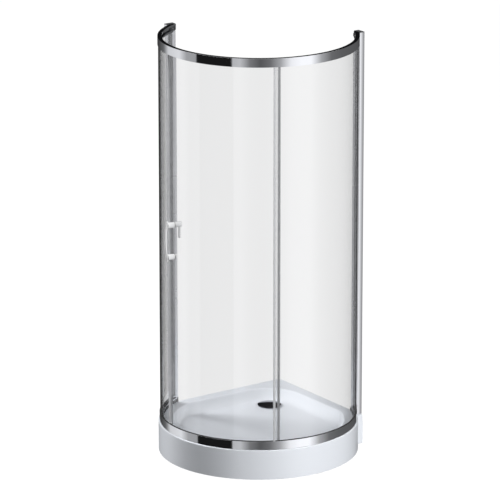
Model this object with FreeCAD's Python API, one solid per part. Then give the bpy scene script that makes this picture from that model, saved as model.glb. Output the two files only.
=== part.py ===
import FreeCAD, Part
import math
import os

# Corner shower enclosure: a tray with a round front, curved rails, two fixed panes and a sliding door.
# The origin is the axis of the curve at floor level. +X points to the right wall, +Y to the left one, +Z up.
# Lengths are in millimetres and angles in degrees, counted from +X towards +Y.

# Plan and heights
TRAY_RADIUS = 467.0
WALL_SETBACK = 34.0
TRAY_HEIGHT = 143.0
OVERALL_HEIGHT = 1985.0
CURVE_MIDDLE = 225.0
CURVE_HALF_SWEEP = 125.0
ANGLE_OVERRUN = 1.0

# Clearances, and the length by which cutting tools overrun
FIT = 0.1
THREAD_FIT = 0.05
RUNNING_GAP = 0.3
OVERRUN = 5.0

# Tray
TRAY_WALL = 5.0
TRAY_EDGE_ROUND = 4.0
APRON_FLOOR_GAP = 2.0
WALL_LIP_HEIGHT = 30.0
RIM_WALL_WIDTH = 57.0
RIM_FRONT_WIDTH = 65.0
BASIN_DEPTH = 39.0
BASIN_WALL_RUN = 81.0
BASIN_FRONT_RUN = 40.0
BASIN_CORNER_RADIUS = 184.0
BASIN_SIDE_RADIUS = 70.0
BASIN_RUN_SHARES = (0.0, 0.3, 0.65, 1.0)
BASIN_DROP_SHARES = (0.0, 0.5, 0.87, 1.0)

# Board under the basin and its feet
BOARD_THICKNESS = 12.0
BOARD_MARGIN = 12.0
BOARD_WASTE_SPACE = 9.0
FOOT_INSET = 85.0
FOOT_ANGLES = (110.0, 185.0, 265.0, 340.0)
SOCKET_PLATE_RADIUS = 28.0
SOCKET_PLATE_THICKNESS = 4.0
SOCKET_BOSS_WALL = 4.0
SOCKET_BOSS_LENGTH = 16.0
SOCKET_SCREW_MARGIN = 8.0
SOCKET_SCREW_ANGLES = (45.0, 225.0)
SOCKET_SCREW_RADIUS = 2.0
SOCKET_SCREW_LENGTH = 10.0
SOCKET_SCREW_HEAD_RADIUS = 4.0
SOCKET_SCREW_HEAD_HEIGHT = 2.5
STUD_RADIUS = 5.0
STUD_COLLAR_WIDTH = 3.5
STUD_COLLAR_HEIGHT = 6.0
STUD_TOP_SPACE = 7.0
LOCK_NUT_WIDTH = 4.8
LOCK_NUT_HEIGHT = 8.0
PAD_RADIUS = 22.0
PAD_HEIGHT = 8.0
PAD_FLOOR = 3.0
HEXAGON_SIDES = 6

# Waste: clamping ring above the floor of the basin, body with outlet below, cover on a dip tube
DRAIN_WALL_SPACE = 75.0
DRAIN_HOLE_RADIUS = 45.0
WASTE_HOLE_GAP = 0.5
WASTE_WALL = 7.0
WASTE_FLANGE_OVERLAP = 11.0
WASTE_FLANGE_THICKNESS = 4.0
WASTE_GASKET = 2.0
WASTE_DROP = 69.0
WASTE_FLOOR = 4.0
WASTE_LEDGE_DEPTH = 14.0
WASTE_LEDGE_WIDTH = 3.0
WASTE_TOP_GAP = 0.3
RING_OVERLAP = 9.0
RING_THICKNESS = 2.5
WASTE_SCREW_ANGLES = (90.0, 210.0, 330.0)
WASTE_SCREW_RADIUS = 1.75
WASTE_SCREW_HEAD_RADIUS = 3.2
WASTE_SCREW_HEAD_HEIGHT = 1.2
WASTE_SCREW_LENGTH = 24.0
OUTLET_RADIUS = 20.0
OUTLET_WALL = 2.0
OUTLET_LENGTH = 60.0
OUTLET_COLLAR_WIDTH = 4.0
OUTLET_COLLAR_LENGTH = 5.0
OUTLET_FLOOR_SPACE = 3.0
COVER_OVERHANG = 3.0
COVER_EDGE = 2.0
COVER_CROWN = 3.5
COVER_WATER_GAP = 4.0
COVER_STEM_RADIUS = 4.0
COVER_STEM_SHOULDER = 8.0
COVER_STEM_LENGTH = 7.0
DIP_TUBE_GAP = 3.5
DIP_TUBE_WALL = 3.0
DIP_TUBE_LENGTH = 40.0
DIP_FLANGE_THICKNESS = 3.0
DIP_BRIDGE_WIDTH = 12.0
DIP_BRIDGE_THICKNESS = 4.0

# Wall profiles, and the jambs in them
PROFILE_PANE_OFFSET = 25.5
PROFILE_TRAY_MARGIN = 9.0
PROFILE_WIDTH = 47.0
PROFILE_DEPTH = 26.0
PROFILE_WALL = 2.0
PROFILE_CAP = 2.0
JAMB_DEPTH = 21.0
JAMB_WALL = 2.5
JAMB_SCREW_WALL = 7.0
JAMB_GROOVE_END = 0.8
WALL_HOLE_RADIUS = 2.75
WALL_HOLE_END_SPACE = 120.0
WALL_HOLE_SPACING = 500.0
JAMB_SCREW_RADIUS = 1.75
JAMB_SCREW_HEAD_RADIUS = 3.5
JAMB_SCREW_HEAD_HEIGHT = 1.8
JAMB_SCREW_LENGTH = 8.0
JAMB_SCREW_OFFSET = 60.0
JAMB_SCREW_COUNT = 3

# Rails
RAIL_SETBACK = 5.0
RAIL_HEIGHT = 41.0
RAIL_WALL = 2.0
GROOVE_DEPTH = 21.0
TRACK_LIP = 1.5
TRACK_LIP_HEIGHT = 4.0
TRACK_COVER_HEIGHT = 10.0
TRACK_SHELF = 30.0

# Glass, gaskets and seals
GLASS = 5.0
GASKET = 1.1
GASKET_FLOOR = 1.6
PANE_ENTRY = 14.0
LEFT_PANE_SHARE = 0.2556
RIGHT_PANE_SHARE = 0.416
LEADING_OVERLAP = 15.5
TRAILING_OVERLAP = 28.0
DOOR_RAIL_GAP = 2.0
DOOR_END_SPACE = 6.0
DOOR_TRAVEL_SHARE = 0.836
SEAL_LEG = 8.0
SEAL_WEB = 2.0
SEAL_WALL = 1.1
SEAL_FIN_THICKNESS = 1.5
SEAL_FIN_GAP = 0.5
SEAL_RAIL_GAP = 2.0
DRIP_SEAL_HEIGHT = 10.0
DRIP_SEAL_FLOOR_GAP = 0.8

# Rail end connectors
CONNECTOR_LENGTH = 31.5
CONNECTOR_TAB_WIDTH = 5.0
CONNECTOR_TAB_DEPTH = 9.0
CONNECTOR_TAB_REACH = 8.0
CONNECTOR_SCREW_RADIUS = 1.75
CONNECTOR_SCREW_HEAD_RADIUS = 3.2
CONNECTOR_SCREW_HEAD_HEIGHT = 1.5

# Door rollers and stops
ROLLER_SPREAD_SHARE = 0.2
WHEEL_RADIUS = 9.7
WHEEL_WIDTH = 5.5
WHEEL_SIDE_GAP = 0.4
BEARING_RADIUS = 5.0
BEARING_RECESS = 0.75
AXLE_RADIUS = 2.5
AXLE_HEAD_GAP = 0.8
AXLE_SHOULDER_RADIUS = 4.5
GLASS_BOLT_RADIUS = 3.0
GLASS_BUSH_WALL = 3.0
WASHER_RADIUS = 9.0
WASHER_THICKNESS = 1.2
ROLLER_CAP_RADIUS = 13.5
ROLLER_CAP_LENGTH = 9.0
ROLLER_CAP_ROUND = 3.0
ROLLER_CAP_BORE = 6.0
CAP_GLASS_GAP = 0.3
STOP_LENGTH = 12.0

# Door handle
HANDLE_PANE_SPACE = 1.1
HANDLE_UPPER_HEIGHT = 1145.0
HANDLE_LOWER_HEIGHT = 994.0
POST_RADIUS = 13.5
POST_ROUND = 2.5
GRIP_RADIUS = 4.75
GRIP_PROJECTION = 47.0
GRIP_SAG = 9.0
GRIP_END_LENGTH = 15.5
HOOK_LENGTH = 33.0
HOOK_DROP = 67.0
HOOK_FINGER_RADIUS = 4.75
HOOK_FINGER_SETBACK = 3.2
INNER_CAP_LENGTH = 8.0
HANDLE_STUD_DEPTH = 6.0

# Radii of the feet, the waste and the holes in the glass
SOCKET_BOSS_RADIUS = STUD_RADIUS + SOCKET_BOSS_WALL
SOCKET_SCREW_CIRCLE = SOCKET_PLATE_RADIUS - SOCKET_SCREW_MARGIN
STUD_COLLAR_RADIUS = STUD_RADIUS + STUD_COLLAR_WIDTH
LOCK_NUT_RADIUS = STUD_RADIUS + LOCK_NUT_WIDTH
WASTE_RADIUS = DRAIN_HOLE_RADIUS - WASTE_HOLE_GAP
WASTE_MOUTH_RADIUS = WASTE_RADIUS - WASTE_WALL
WASTE_BORE_RADIUS = WASTE_MOUTH_RADIUS - WASTE_LEDGE_WIDTH
WASTE_FLANGE_RADIUS = DRAIN_HOLE_RADIUS + WASTE_FLANGE_OVERLAP
WASTE_SCREW_CIRCLE = WASTE_RADIUS - WASTE_WALL / 2
OUTLET_BORE_RADIUS = OUTLET_RADIUS - OUTLET_WALL
RING_RADIUS = DRAIN_HOLE_RADIUS + RING_OVERLAP
COVER_RADIUS = RING_RADIUS + COVER_OVERHANG
DIP_TUBE_RADIUS = WASTE_BORE_RADIUS - DIP_TUBE_GAP
BOARD_WASTE_RADIUS = WASTE_FLANGE_RADIUS + BOARD_WASTE_SPACE
AXLE_HEAD_RADIUS = BEARING_RADIUS - AXLE_HEAD_GAP
GLASS_HOLE_RADIUS = GLASS_BOLT_RADIUS + GLASS_BUSH_WALL

# Radii of the rail, worked out from the outside inwards
RAIL_RADIUS = TRAY_RADIUS - RAIL_SETBACK
GROOVE_OUTER = RAIL_RADIUS - RAIL_WALL
PANE_OUTER = GROOVE_OUTER - GASKET
PANE_INNER = PANE_OUTER - GLASS
PANE_MIDDLE = (PANE_OUTER + PANE_INNER) / 2
GROOVE_INNER = PANE_INNER - GASKET
TRACK_OUTER = GROOVE_INNER - RAIL_WALL
TRACK_INNER = TRACK_OUTER - WHEEL_WIDTH - 2 * WHEEL_SIDE_GAP
RAIL_INNER = TRACK_INNER - TRACK_LIP
TRACK_MIDDLE = (TRACK_INNER + TRACK_OUTER) / 2
DOOR_OUTER = RAIL_INNER - DOOR_RAIL_GAP
DOOR_INNER = DOOR_OUTER - GLASS
BEARING_WIDTH = WHEEL_WIDTH - 2 * BEARING_RECESS

# Heights that several pieces share
BASIN_FLOOR = TRAY_HEIGHT - BASIN_DEPTH
BASIN_UNDERSIDE = BASIN_FLOOR - TRAY_WALL
BOARD_BOTTOM = BASIN_UNDERSIDE - BOARD_THICKNESS
PANE_LOW = TRAY_HEIGHT + GROOVE_DEPTH + GASKET_FLOOR
PANE_HIGH = OVERALL_HEIGHT - GROOVE_DEPTH - GASKET_FLOOR
DOOR_LOW = TRAY_HEIGHT + DOOR_END_SPACE
DOOR_HIGH = OVERALL_HEIGHT - DOOR_END_SPACE
AXLE_OFFSET = TRACK_SHELF - RUNNING_GAP - WHEEL_RADIUS
AXLE_HEIGHTS = (OVERALL_HEIGHT - AXLE_OFFSET, TRAY_HEIGHT + AXLE_OFFSET)
PROFILE_TOP = OVERALL_HEIGHT - PROFILE_CAP
WASTE_BOTTOM = BASIN_UNDERSIDE - WASTE_DROP
OUTLET_HEIGHT = WASTE_BOTTOM + WASTE_FLOOR + OUTLET_FLOOR_SPACE + OUTLET_RADIUS

# Places along the walls
WALL_DISTANCE = TRAY_RADIUS - WALL_SETBACK
FRAME_FACE = WALL_DISTANCE - PROFILE_DEPTH
PROFILE_START = math.sqrt(PANE_MIDDLE ** 2 - FRAME_FACE ** 2) - PROFILE_PANE_OFFSET
WALL_RUN = WALL_DISTANCE + PROFILE_START + PROFILE_WIDTH + PROFILE_TRAY_MARGIN
BASIN_FLOOR_WALL = WALL_DISTANCE - RIM_WALL_WIDTH - BASIN_WALL_RUN
DRAIN_PLACE = BASIN_FLOOR_WALL - DRAIN_WALL_SPACE
FOOT_CIRCLE = TRAY_RADIUS - RIM_FRONT_WIDTH - BASIN_FRONT_RUN - BOARD_MARGIN - FOOT_INSET

# Angles of the panes, the door and its rollers
PANE_FACE_ANGLE = 180 - math.degrees(math.asin(FRAME_FACE / PANE_MIDDLE))
LEFT_PANE_END = PANE_FACE_ANGLE - math.degrees(PANE_ENTRY / PANE_MIDDLE)
RIGHT_PANE_END = 2 * CURVE_MIDDLE - LEFT_PANE_END
PANE_SWEEP = RIGHT_PANE_END - LEFT_PANE_END
LEFT_PANE_EDGE = LEFT_PANE_END + LEFT_PANE_SHARE * PANE_SWEEP
RIGHT_PANE_EDGE = RIGHT_PANE_END - RIGHT_PANE_SHARE * PANE_SWEEP
DOOR_LEADING_EDGE = LEFT_PANE_EDGE - math.degrees(LEADING_OVERLAP / DOOR_OUTER)
DOOR_TRAILING_EDGE = RIGHT_PANE_EDGE + math.degrees(TRAILING_OVERLAP / DOOR_OUTER)
DOOR_MIDDLE = (DOOR_LEADING_EDGE + DOOR_TRAILING_EDGE) / 2
DOOR_SWEEP = DOOR_TRAILING_EDGE - DOOR_LEADING_EDGE
DOOR_TRAVEL = DOOR_TRAVEL_SHARE * DOOR_SWEEP
HANDLE_ANGLE = LEFT_PANE_EDGE + math.degrees((SEAL_WEB + HANDLE_PANE_SPACE + POST_RADIUS) / DOOR_OUTER)
ROLLER_SPREAD = ROLLER_SPREAD_SHARE * DOOR_SWEEP
ROLLER_ANGLES = (DOOR_MIDDLE - ROLLER_SPREAD, DOOR_MIDDLE + ROLLER_SPREAD)

Vector = FreeCAD.Vector
ORIGIN = Vector(0, 0, 0)
UP = Vector(0, 0, 1)
OUTWARD = Vector(1, 0, 0)
DIAGONAL_NORMAL = Vector(1, -1, 0)


def polar(radius, angle, height=0):
    turn = math.radians(angle)
    return Vector(radius * math.cos(turn), radius * math.sin(turn), height)


def arc_angle(length, radius):
    return math.degrees(length / radius)


def turned(shape, angle):
    copy = shape.copy()
    copy.rotate(ORIGIN, UP, angle)
    return copy


def swapped(shape):
    return shape.mirror(ORIGIN, DIAGONAL_NORMAL)


def revolved(points, start, end):
    wire = Part.makePolygon([Vector(radius, 0, height) for radius, height in points + points[:1]])
    return turned(Part.Face(wire).revolve(ORIGIN, UP, end - start), start)


def sector(inner, outer, start, end, low, high):
    return revolved([(inner, low), (outer, low), (outer, high), (inner, high)], start, end)


def upright(radius, low, high, place=ORIGIN):
    return Part.makeCylinder(radius, high - low, Vector(place.x, place.y, low), UP)


def radial(radius, start, end, height):
    return Part.makeCylinder(radius, end - start, Vector(start, 0, height), OUTWARD)


def block(low, high):
    size = high.sub(low)
    return Part.makeBox(size.x, size.y, size.z, low)


def hexagon(radius, low, high, place):
    corners = [polar(radius, 360 / HEXAGON_SIDES * i, low).add(place) for i in range(HEXAGON_SIDES)]
    return Part.Face(Part.makePolygon(corners + corners[:1])).extrude(UP * (high - low))


def line(start, end):
    return Part.LineSegment(start, end).toShape()


def arc(start, middle, end):
    return Part.Arc(start, middle, end).toShape()


def trim_at_walls(shape, face):
    reach = 2 * TRAY_RADIUS
    beyond = block(Vector(-reach, face, -OVERRUN), Vector(reach, face + reach, OVERALL_HEIGHT + OVERRUN))
    return shape.cut([beyond, swapped(beyond)])


# Tray: acrylic shell with a flat rim, a basin with sloping sides and an apron under the curve

def tray_face(inset, height):
    wall = WALL_DISTANCE - inset
    end = WALL_DISTANCE - WALL_RUN + inset
    radius = TRAY_RADIUS - inset
    knee = math.sqrt(radius ** 2 - end ** 2)
    corner = Vector(wall, wall, height)
    left_wall = Vector(end, wall, height)
    left_knee = Vector(end, knee, height)
    right_knee = Vector(knee, end, height)
    right_wall = Vector(wall, end, height)
    edges = [
        line(corner, left_wall),
        line(left_wall, left_knee),
        arc(left_knee, polar(radius, CURVE_MIDDLE, height), right_knee),
        line(right_knee, right_wall),
        line(right_wall, corner),
    ]
    return Part.Face(Part.Wire(edges))


def basin_wire(run_share, height, margin=0):
    wall = WALL_DISTANCE - RIM_WALL_WIDTH - run_share * BASIN_WALL_RUN - margin
    radius = TRAY_RADIUS - RIM_FRONT_WIDTH - run_share * BASIN_FRONT_RUN - margin
    bend = BASIN_CORNER_RADIUS - run_share * BASIN_WALL_RUN - margin
    side = BASIN_SIDE_RADIUS - margin
    side_y = wall - side
    side_x = -math.sqrt((radius - side) ** 2 - side_y ** 2)
    towards_front = Vector(side_x, side_y, 0).normalize()
    towards_wall = Vector(0, 1, 0)
    between = towards_front.add(towards_wall).normalize()
    level = Vector(0, 0, height)
    side_centre = Vector(side_x, side_y, height)
    left_front = (towards_front * radius).add(level)
    left_middle = side_centre.add(between * side)
    left_wall = Vector(side_x, wall, height)
    left_bend = Vector(wall - bend, wall, height)
    bend_middle = Vector(wall - bend, wall - bend, height).add(polar(bend, CURVE_MIDDLE - 180))
    right_bend, right_wall, right_middle, right_front = [
        Vector(point.y, point.x, height) for point in (left_bend, left_wall, left_middle, left_front)
    ]
    edges = [
        line(left_wall, left_bend),
        arc(left_bend, bend_middle, right_bend),
        line(right_bend, right_wall),
        arc(right_wall, right_middle, right_front),
        arc(right_front, polar(radius, CURVE_MIDDLE, height), left_front),
        arc(left_front, left_middle, left_wall),
    ]
    return Part.Wire(edges)


def drain_centre():
    return Vector(DRAIN_PLACE, DRAIN_PLACE, 0)


def shower_tray():
    body = tray_face(0, APRON_FLOOR_GAP).extrude(UP * (TRAY_HEIGHT - APRON_FLOOR_GAP))
    rim_edges = [edge for edge in body.Edges if edge.BoundBox.ZMin > TRAY_HEIGHT - FIT]
    front_edges = [
        edge for edge in rim_edges
        if edge.Curve.TypeId == "Part::GeomCircle" or edge.Length < RIM_WALL_WIDTH
    ]
    body = body.makeFillet(TRAY_EDGE_ROUND, front_edges)
    sections = [
        basin_wire(run, TRAY_HEIGHT - drop * BASIN_DEPTH)
        for run, drop in zip(BASIN_RUN_SHARES, BASIN_DROP_SHARES)
    ]
    basin = Part.makeLoft(sections, True, True)
    lowered = basin.copy()
    lowered.translate(UP * -TRAY_WALL)
    hollow = tray_face(TRAY_WALL, -OVERRUN).extrude(UP * (TRAY_HEIGHT - TRAY_WALL + OVERRUN))
    end = WALL_DISTANCE - WALL_RUN
    wall_opening = block(
        Vector(end + TRAY_WALL, WALL_DISTANCE - TRAY_WALL - OVERRUN, -OVERRUN),
        Vector(WALL_DISTANCE + OVERRUN, WALL_DISTANCE + OVERRUN, TRAY_HEIGHT - WALL_LIP_HEIGHT),
    )
    waste_hole = upright(DRAIN_HOLE_RADIUS, BASIN_UNDERSIDE - OVERRUN, BASIN_FLOOR + OVERRUN, drain_centre())
    below = hollow.cut(lowered)
    return body.cut([basin, below, wall_opening, swapped(wall_opening), waste_hole])


# Board glued under the basin, with the feet screwed to it

def foot_places():
    return [ORIGIN] + [polar(FOOT_CIRCLE, angle) for angle in FOOT_ANGLES]


def socket_screw_places(place):
    return [place.add(polar(SOCKET_SCREW_CIRCLE, angle)) for angle in SOCKET_SCREW_ANGLES]


def tray_baseboard():
    outline = basin_wire(BASIN_RUN_SHARES[-1], BOARD_BOTTOM, BOARD_MARGIN)
    board = Part.Face(outline).extrude(UP * BOARD_THICKNESS)
    cuts = [upright(BOARD_WASTE_RADIUS, BOARD_BOTTOM - OVERRUN, BASIN_UNDERSIDE + OVERRUN, drain_centre())]
    hole_radius = SOCKET_SCREW_RADIUS + THREAD_FIT
    hole_top = BOARD_BOTTOM - SOCKET_PLATE_THICKNESS + SOCKET_SCREW_LENGTH + FIT
    for place in foot_places():
        for screw_place in socket_screw_places(place):
            cuts.append(upright(hole_radius, BOARD_BOTTOM - OVERRUN, hole_top, screw_place))
    return board.cut(cuts)


def foot_sockets():
    sockets = []
    plate_bottom = BOARD_BOTTOM - SOCKET_PLATE_THICKNESS
    boss_bottom = plate_bottom - SOCKET_BOSS_LENGTH
    for place in foot_places():
        plate = upright(SOCKET_PLATE_RADIUS, plate_bottom, BOARD_BOTTOM, place)
        boss = upright(SOCKET_BOSS_RADIUS, boss_bottom, BOARD_BOTTOM, place)
        thread = upright(STUD_RADIUS + THREAD_FIT, boss_bottom - OVERRUN, BOARD_BOTTOM + OVERRUN, place)
        holes = [
            upright(SOCKET_SCREW_RADIUS + FIT, plate_bottom - OVERRUN, BOARD_BOTTOM + OVERRUN, screw_place)
            for screw_place in socket_screw_places(place)
        ]
        sockets.append(plate.fuse(boss).cut([thread] + holes))
    return Part.makeCompound(sockets)


def socket_screws():
    screws = []
    plate_bottom = BOARD_BOTTOM - SOCKET_PLATE_THICKNESS
    for place in foot_places():
        for screw_place in socket_screw_places(place):
            head_bottom = plate_bottom - SOCKET_SCREW_HEAD_HEIGHT
            tip = plate_bottom + SOCKET_SCREW_LENGTH
            head = upright(SOCKET_SCREW_HEAD_RADIUS, head_bottom, plate_bottom, screw_place)
            shank = upright(SOCKET_SCREW_RADIUS, head_bottom, tip, screw_place)
            screws.append(head.fuse(shank))
    return Part.makeCompound(screws)


def foot_studs():
    studs = []
    for place in foot_places():
        shank = upright(STUD_RADIUS, PAD_FLOOR, BOARD_BOTTOM - STUD_TOP_SPACE, place)
        collar = hexagon(STUD_COLLAR_RADIUS, PAD_HEIGHT, PAD_HEIGHT + STUD_COLLAR_HEIGHT, place)
        studs.append(shank.fuse(collar))
    return Part.makeCompound(studs)


def foot_lock_nuts():
    nuts = []
    top = BOARD_BOTTOM - SOCKET_PLATE_THICKNESS - SOCKET_BOSS_LENGTH
    for place in foot_places():
        nut = hexagon(LOCK_NUT_RADIUS, top - LOCK_NUT_HEIGHT, top, place)
        thread = upright(STUD_RADIUS + THREAD_FIT, top - LOCK_NUT_HEIGHT - OVERRUN, top + OVERRUN, place)
        nuts.append(nut.cut(thread))
    return Part.makeCompound(nuts)


def foot_pads():
    pads = []
    for place in foot_places():
        pad = upright(PAD_RADIUS, 0, PAD_HEIGHT, place)
        pads.append(pad.cut(upright(STUD_RADIUS + THREAD_FIT, PAD_FLOOR, PAD_HEIGHT + OVERRUN, place)))
    return Part.makeCompound(pads)


# Waste: made about the origin and then set under the hole of the tray

def at_drain(shape):
    copy = shape.copy()
    copy.translate(drain_centre())
    return copy


def waste_screw_tools(radius, low, high):
    return [upright(radius, low, high, polar(WASTE_SCREW_CIRCLE, angle)) for angle in WASTE_SCREW_ANGLES]


def waste_heights():
    flange_top = BASIN_UNDERSIDE - WASTE_GASKET
    wall_top = BASIN_FLOOR - WASTE_TOP_GAP
    ledge = BASIN_FLOOR - WASTE_LEDGE_DEPTH
    ring_top = BASIN_FLOOR + RING_THICKNESS
    return flange_top, wall_top, ledge, ring_top


def waste_body():
    flange_top, wall_top, ledge, ring_top = waste_heights()
    cup = upright(WASTE_RADIUS, WASTE_BOTTOM, wall_top)
    flange = upright(WASTE_FLANGE_RADIUS, flange_top - WASTE_FLANGE_THICKNESS, flange_top)
    outlet_reach = WASTE_RADIUS + OUTLET_LENGTH
    outlet = radial(OUTLET_RADIUS, 0, outlet_reach, OUTLET_HEIGHT)
    collar_end = WASTE_RADIUS + OUTLET_COLLAR_LENGTH
    collar = radial(OUTLET_RADIUS + OUTLET_COLLAR_WIDTH, 0, collar_end, OUTLET_HEIGHT)
    bore = upright(WASTE_BORE_RADIUS, WASTE_BOTTOM + WASTE_FLOOR, wall_top + OVERRUN)
    mouth = upright(WASTE_MOUTH_RADIUS, ledge, wall_top + OVERRUN)
    outlet_bore = radial(OUTLET_BORE_RADIUS, 0, outlet_reach + OVERRUN, OUTLET_HEIGHT)
    thread_low = ring_top - WASTE_SCREW_LENGTH - FIT
    threads = waste_screw_tools(WASTE_SCREW_RADIUS + THREAD_FIT, thread_low, wall_top + OVERRUN)
    return at_drain(cup.fuse([flange, outlet, collar]).cut([bore, mouth, outlet_bore] + threads))


def waste_gasket():
    flange_top = waste_heights()[0]
    disc = upright(WASTE_FLANGE_RADIUS, flange_top, BASIN_UNDERSIDE)
    return at_drain(disc.cut(upright(WASTE_RADIUS + FIT, flange_top - OVERRUN, BASIN_UNDERSIDE + OVERRUN)))


def waste_ring():
    ring_top = waste_heights()[3]
    ring = upright(RING_RADIUS, BASIN_FLOOR, ring_top)
    opening = upright(WASTE_MOUTH_RADIUS, BASIN_FLOOR - OVERRUN, ring_top + OVERRUN)
    holes = waste_screw_tools(WASTE_SCREW_RADIUS + FIT, BASIN_FLOOR - OVERRUN, ring_top + OVERRUN)
    head_low = ring_top - WASTE_SCREW_HEAD_HEIGHT
    seats = waste_screw_tools(WASTE_SCREW_HEAD_RADIUS + FIT, head_low, ring_top + OVERRUN)
    return at_drain(ring.cut([opening] + holes + seats))


def waste_screws():
    ring_top = waste_heights()[3]
    head_bottom = ring_top - WASTE_SCREW_HEAD_HEIGHT
    heads = waste_screw_tools(WASTE_SCREW_HEAD_RADIUS, head_bottom, ring_top)
    shanks = waste_screw_tools(WASTE_SCREW_RADIUS, ring_top - WASTE_SCREW_LENGTH, ring_top)
    return at_drain(Part.makeCompound([head.fuse(shank) for head, shank in zip(heads, shanks)]))


def dip_flange_top():
    return waste_heights()[2] + RUNNING_GAP + DIP_FLANGE_THICKNESS


def dip_tube():
    top = dip_flange_top()
    flange_radius = WASTE_MOUTH_RADIUS - RUNNING_GAP
    tube = upright(DIP_TUBE_RADIUS, top - DIP_TUBE_LENGTH, top)
    flange = upright(flange_radius, top - DIP_FLANGE_THICKNESS, top)
    bore = upright(DIP_TUBE_RADIUS - DIP_TUBE_WALL, top - DIP_TUBE_LENGTH - OVERRUN, top + OVERRUN)
    bridge = block(
        Vector(-DIP_TUBE_RADIUS + DIP_TUBE_WALL / 2, -DIP_BRIDGE_WIDTH / 2, top - DIP_BRIDGE_THICKNESS),
        Vector(DIP_TUBE_RADIUS - DIP_TUBE_WALL / 2, DIP_BRIDGE_WIDTH / 2, top),
    )
    stem_hole = upright(COVER_STEM_RADIUS + FIT, top - DIP_BRIDGE_THICKNESS - OVERRUN, top + OVERRUN)
    return at_drain(tube.fuse(flange).cut(bore).fuse(bridge).cut(stem_hole))


def drain_cover():
    seat = dip_flange_top()
    underside = waste_heights()[3] + COVER_WATER_GAP
    crown_top = underside + COVER_CROWN
    edge_top = underside + COVER_EDGE
    rise = crown_top - edge_top
    dome_radius = (COVER_RADIUS ** 2 + rise ** 2) / (2 * rise)
    dome = Part.makeSphere(dome_radius, Vector(0, 0, crown_top - dome_radius))
    disc = upright(COVER_RADIUS, underside, crown_top).common(dome)
    shoulder = upright(COVER_STEM_SHOULDER, seat, underside + COVER_EDGE)
    stem = upright(COVER_STEM_RADIUS, seat - COVER_STEM_LENGTH, underside + COVER_EDGE)
    return at_drain(disc.fuse([shoulder, stem]))


# Wall profile on the left wall: an open channel with its base on the wall, filled by the jamb

def wall_hole_heights():
    return (
        TRAY_HEIGHT + WALL_HOLE_END_SPACE,
        TRAY_HEIGHT + WALL_HOLE_END_SPACE + WALL_HOLE_SPACING,
        PROFILE_TOP - WALL_HOLE_END_SPACE - WALL_HOLE_SPACING,
        PROFILE_TOP - WALL_HOLE_END_SPACE,
    )


def jamb_screw_heights():
    low = TRAY_HEIGHT + WALL_HOLE_END_SPACE + JAMB_SCREW_OFFSET
    high = PROFILE_TOP - WALL_HOLE_END_SPACE - JAMB_SCREW_OFFSET
    return [low + (high - low) * i / (JAMB_SCREW_COUNT - 1) for i in range(JAMB_SCREW_COUNT)]


def jamb_screw_line():
    return FRAME_FACE + JAMB_DEPTH - JAMB_SCREW_HEAD_RADIUS


def jamb_screw_tools(radius, start, end):
    place = -PROFILE_START + OVERRUN - start
    return [
        Part.makeCylinder(radius, end - start, Vector(place, jamb_screw_line(), height), -OUTWARD)
        for height in jamb_screw_heights()
    ]


def wall_profile():
    outer = block(
        Vector(-PROFILE_START - PROFILE_WIDTH, FRAME_FACE, TRAY_HEIGHT),
        Vector(-PROFILE_START, WALL_DISTANCE, PROFILE_TOP),
    )
    channel = block(
        Vector(-PROFILE_START - PROFILE_WIDTH + PROFILE_WALL, FRAME_FACE - OVERRUN, TRAY_HEIGHT - OVERRUN),
        Vector(-PROFILE_START - PROFILE_WALL, WALL_DISTANCE - PROFILE_WALL, PROFILE_TOP + OVERRUN),
    )
    middle = -PROFILE_START - PROFILE_WIDTH / 2
    holes = [
        Part.makeCylinder(
            WALL_HOLE_RADIUS, PROFILE_WALL + 2 * OVERRUN,
            Vector(middle, WALL_DISTANCE - PROFILE_WALL - OVERRUN, height), Vector(0, 1, 0),
        )
        for height in wall_hole_heights()
    ]
    screw_holes = jamb_screw_tools(JAMB_SCREW_RADIUS + FIT, 0, 2 * OVERRUN)
    return outer.cut([channel] + holes + screw_holes)


def connector_tab_start():
    return PROFILE_START + PROFILE_WALL + JAMB_WALL


def connector_tab(clearance, rail_base, direction):
    start = connector_tab_start() - clearance
    end = connector_tab_start() + CONNECTOR_TAB_WIDTH + clearance
    heights = sorted(
        rail_base + direction * offset
        for offset in (
            TRACK_COVER_HEIGHT + RUNNING_GAP - clearance,
            TRACK_SHELF - TRACK_LIP_HEIGHT - RUNNING_GAP + clearance,
        )
    )
    return block(
        Vector(-end, FRAME_FACE - CONNECTOR_TAB_REACH, heights[0]),
        Vector(-start, FRAME_FACE + CONNECTOR_TAB_DEPTH + clearance, heights[1]),
    )


def rail_bases():
    return ((OVERALL_HEIGHT, -1), (TRAY_HEIGHT, 1))


def jamb():
    inner = PROFILE_START + PROFILE_WALL + FIT
    outer = PROFILE_START + PROFILE_WIDTH - PROFILE_WALL - FIT
    back = FRAME_FACE + JAMB_DEPTH
    bar = block(Vector(-outer, FRAME_FACE, TRAY_HEIGHT), Vector(-inner, back, PROFILE_TOP))
    groove_start = LEFT_PANE_END - arc_angle(GASKET + JAMB_GROOVE_END, PANE_MIDDLE)
    low = TRAY_HEIGHT - OVERRUN
    high = PROFILE_TOP + OVERRUN
    groove = sector(GROOVE_INNER, GROOVE_OUTER, groove_start, CURVE_MIDDLE, low, high)
    groove_depth = polar(GROOVE_OUTER, groove_start).y - FRAME_FACE
    chamber = block(
        Vector(-outer + JAMB_WALL, FRAME_FACE + groove_depth + JAMB_WALL, low),
        Vector(-inner - JAMB_SCREW_WALL, back - JAMB_WALL, high),
    )
    slots = [connector_tab(FIT, base, direction) for base, direction in rail_bases()]
    threads = jamb_screw_tools(JAMB_SCREW_RADIUS + THREAD_FIT, 0, 2 * OVERRUN + JAMB_SCREW_LENGTH)
    return bar.cut([groove, chamber] + slots + threads)


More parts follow.
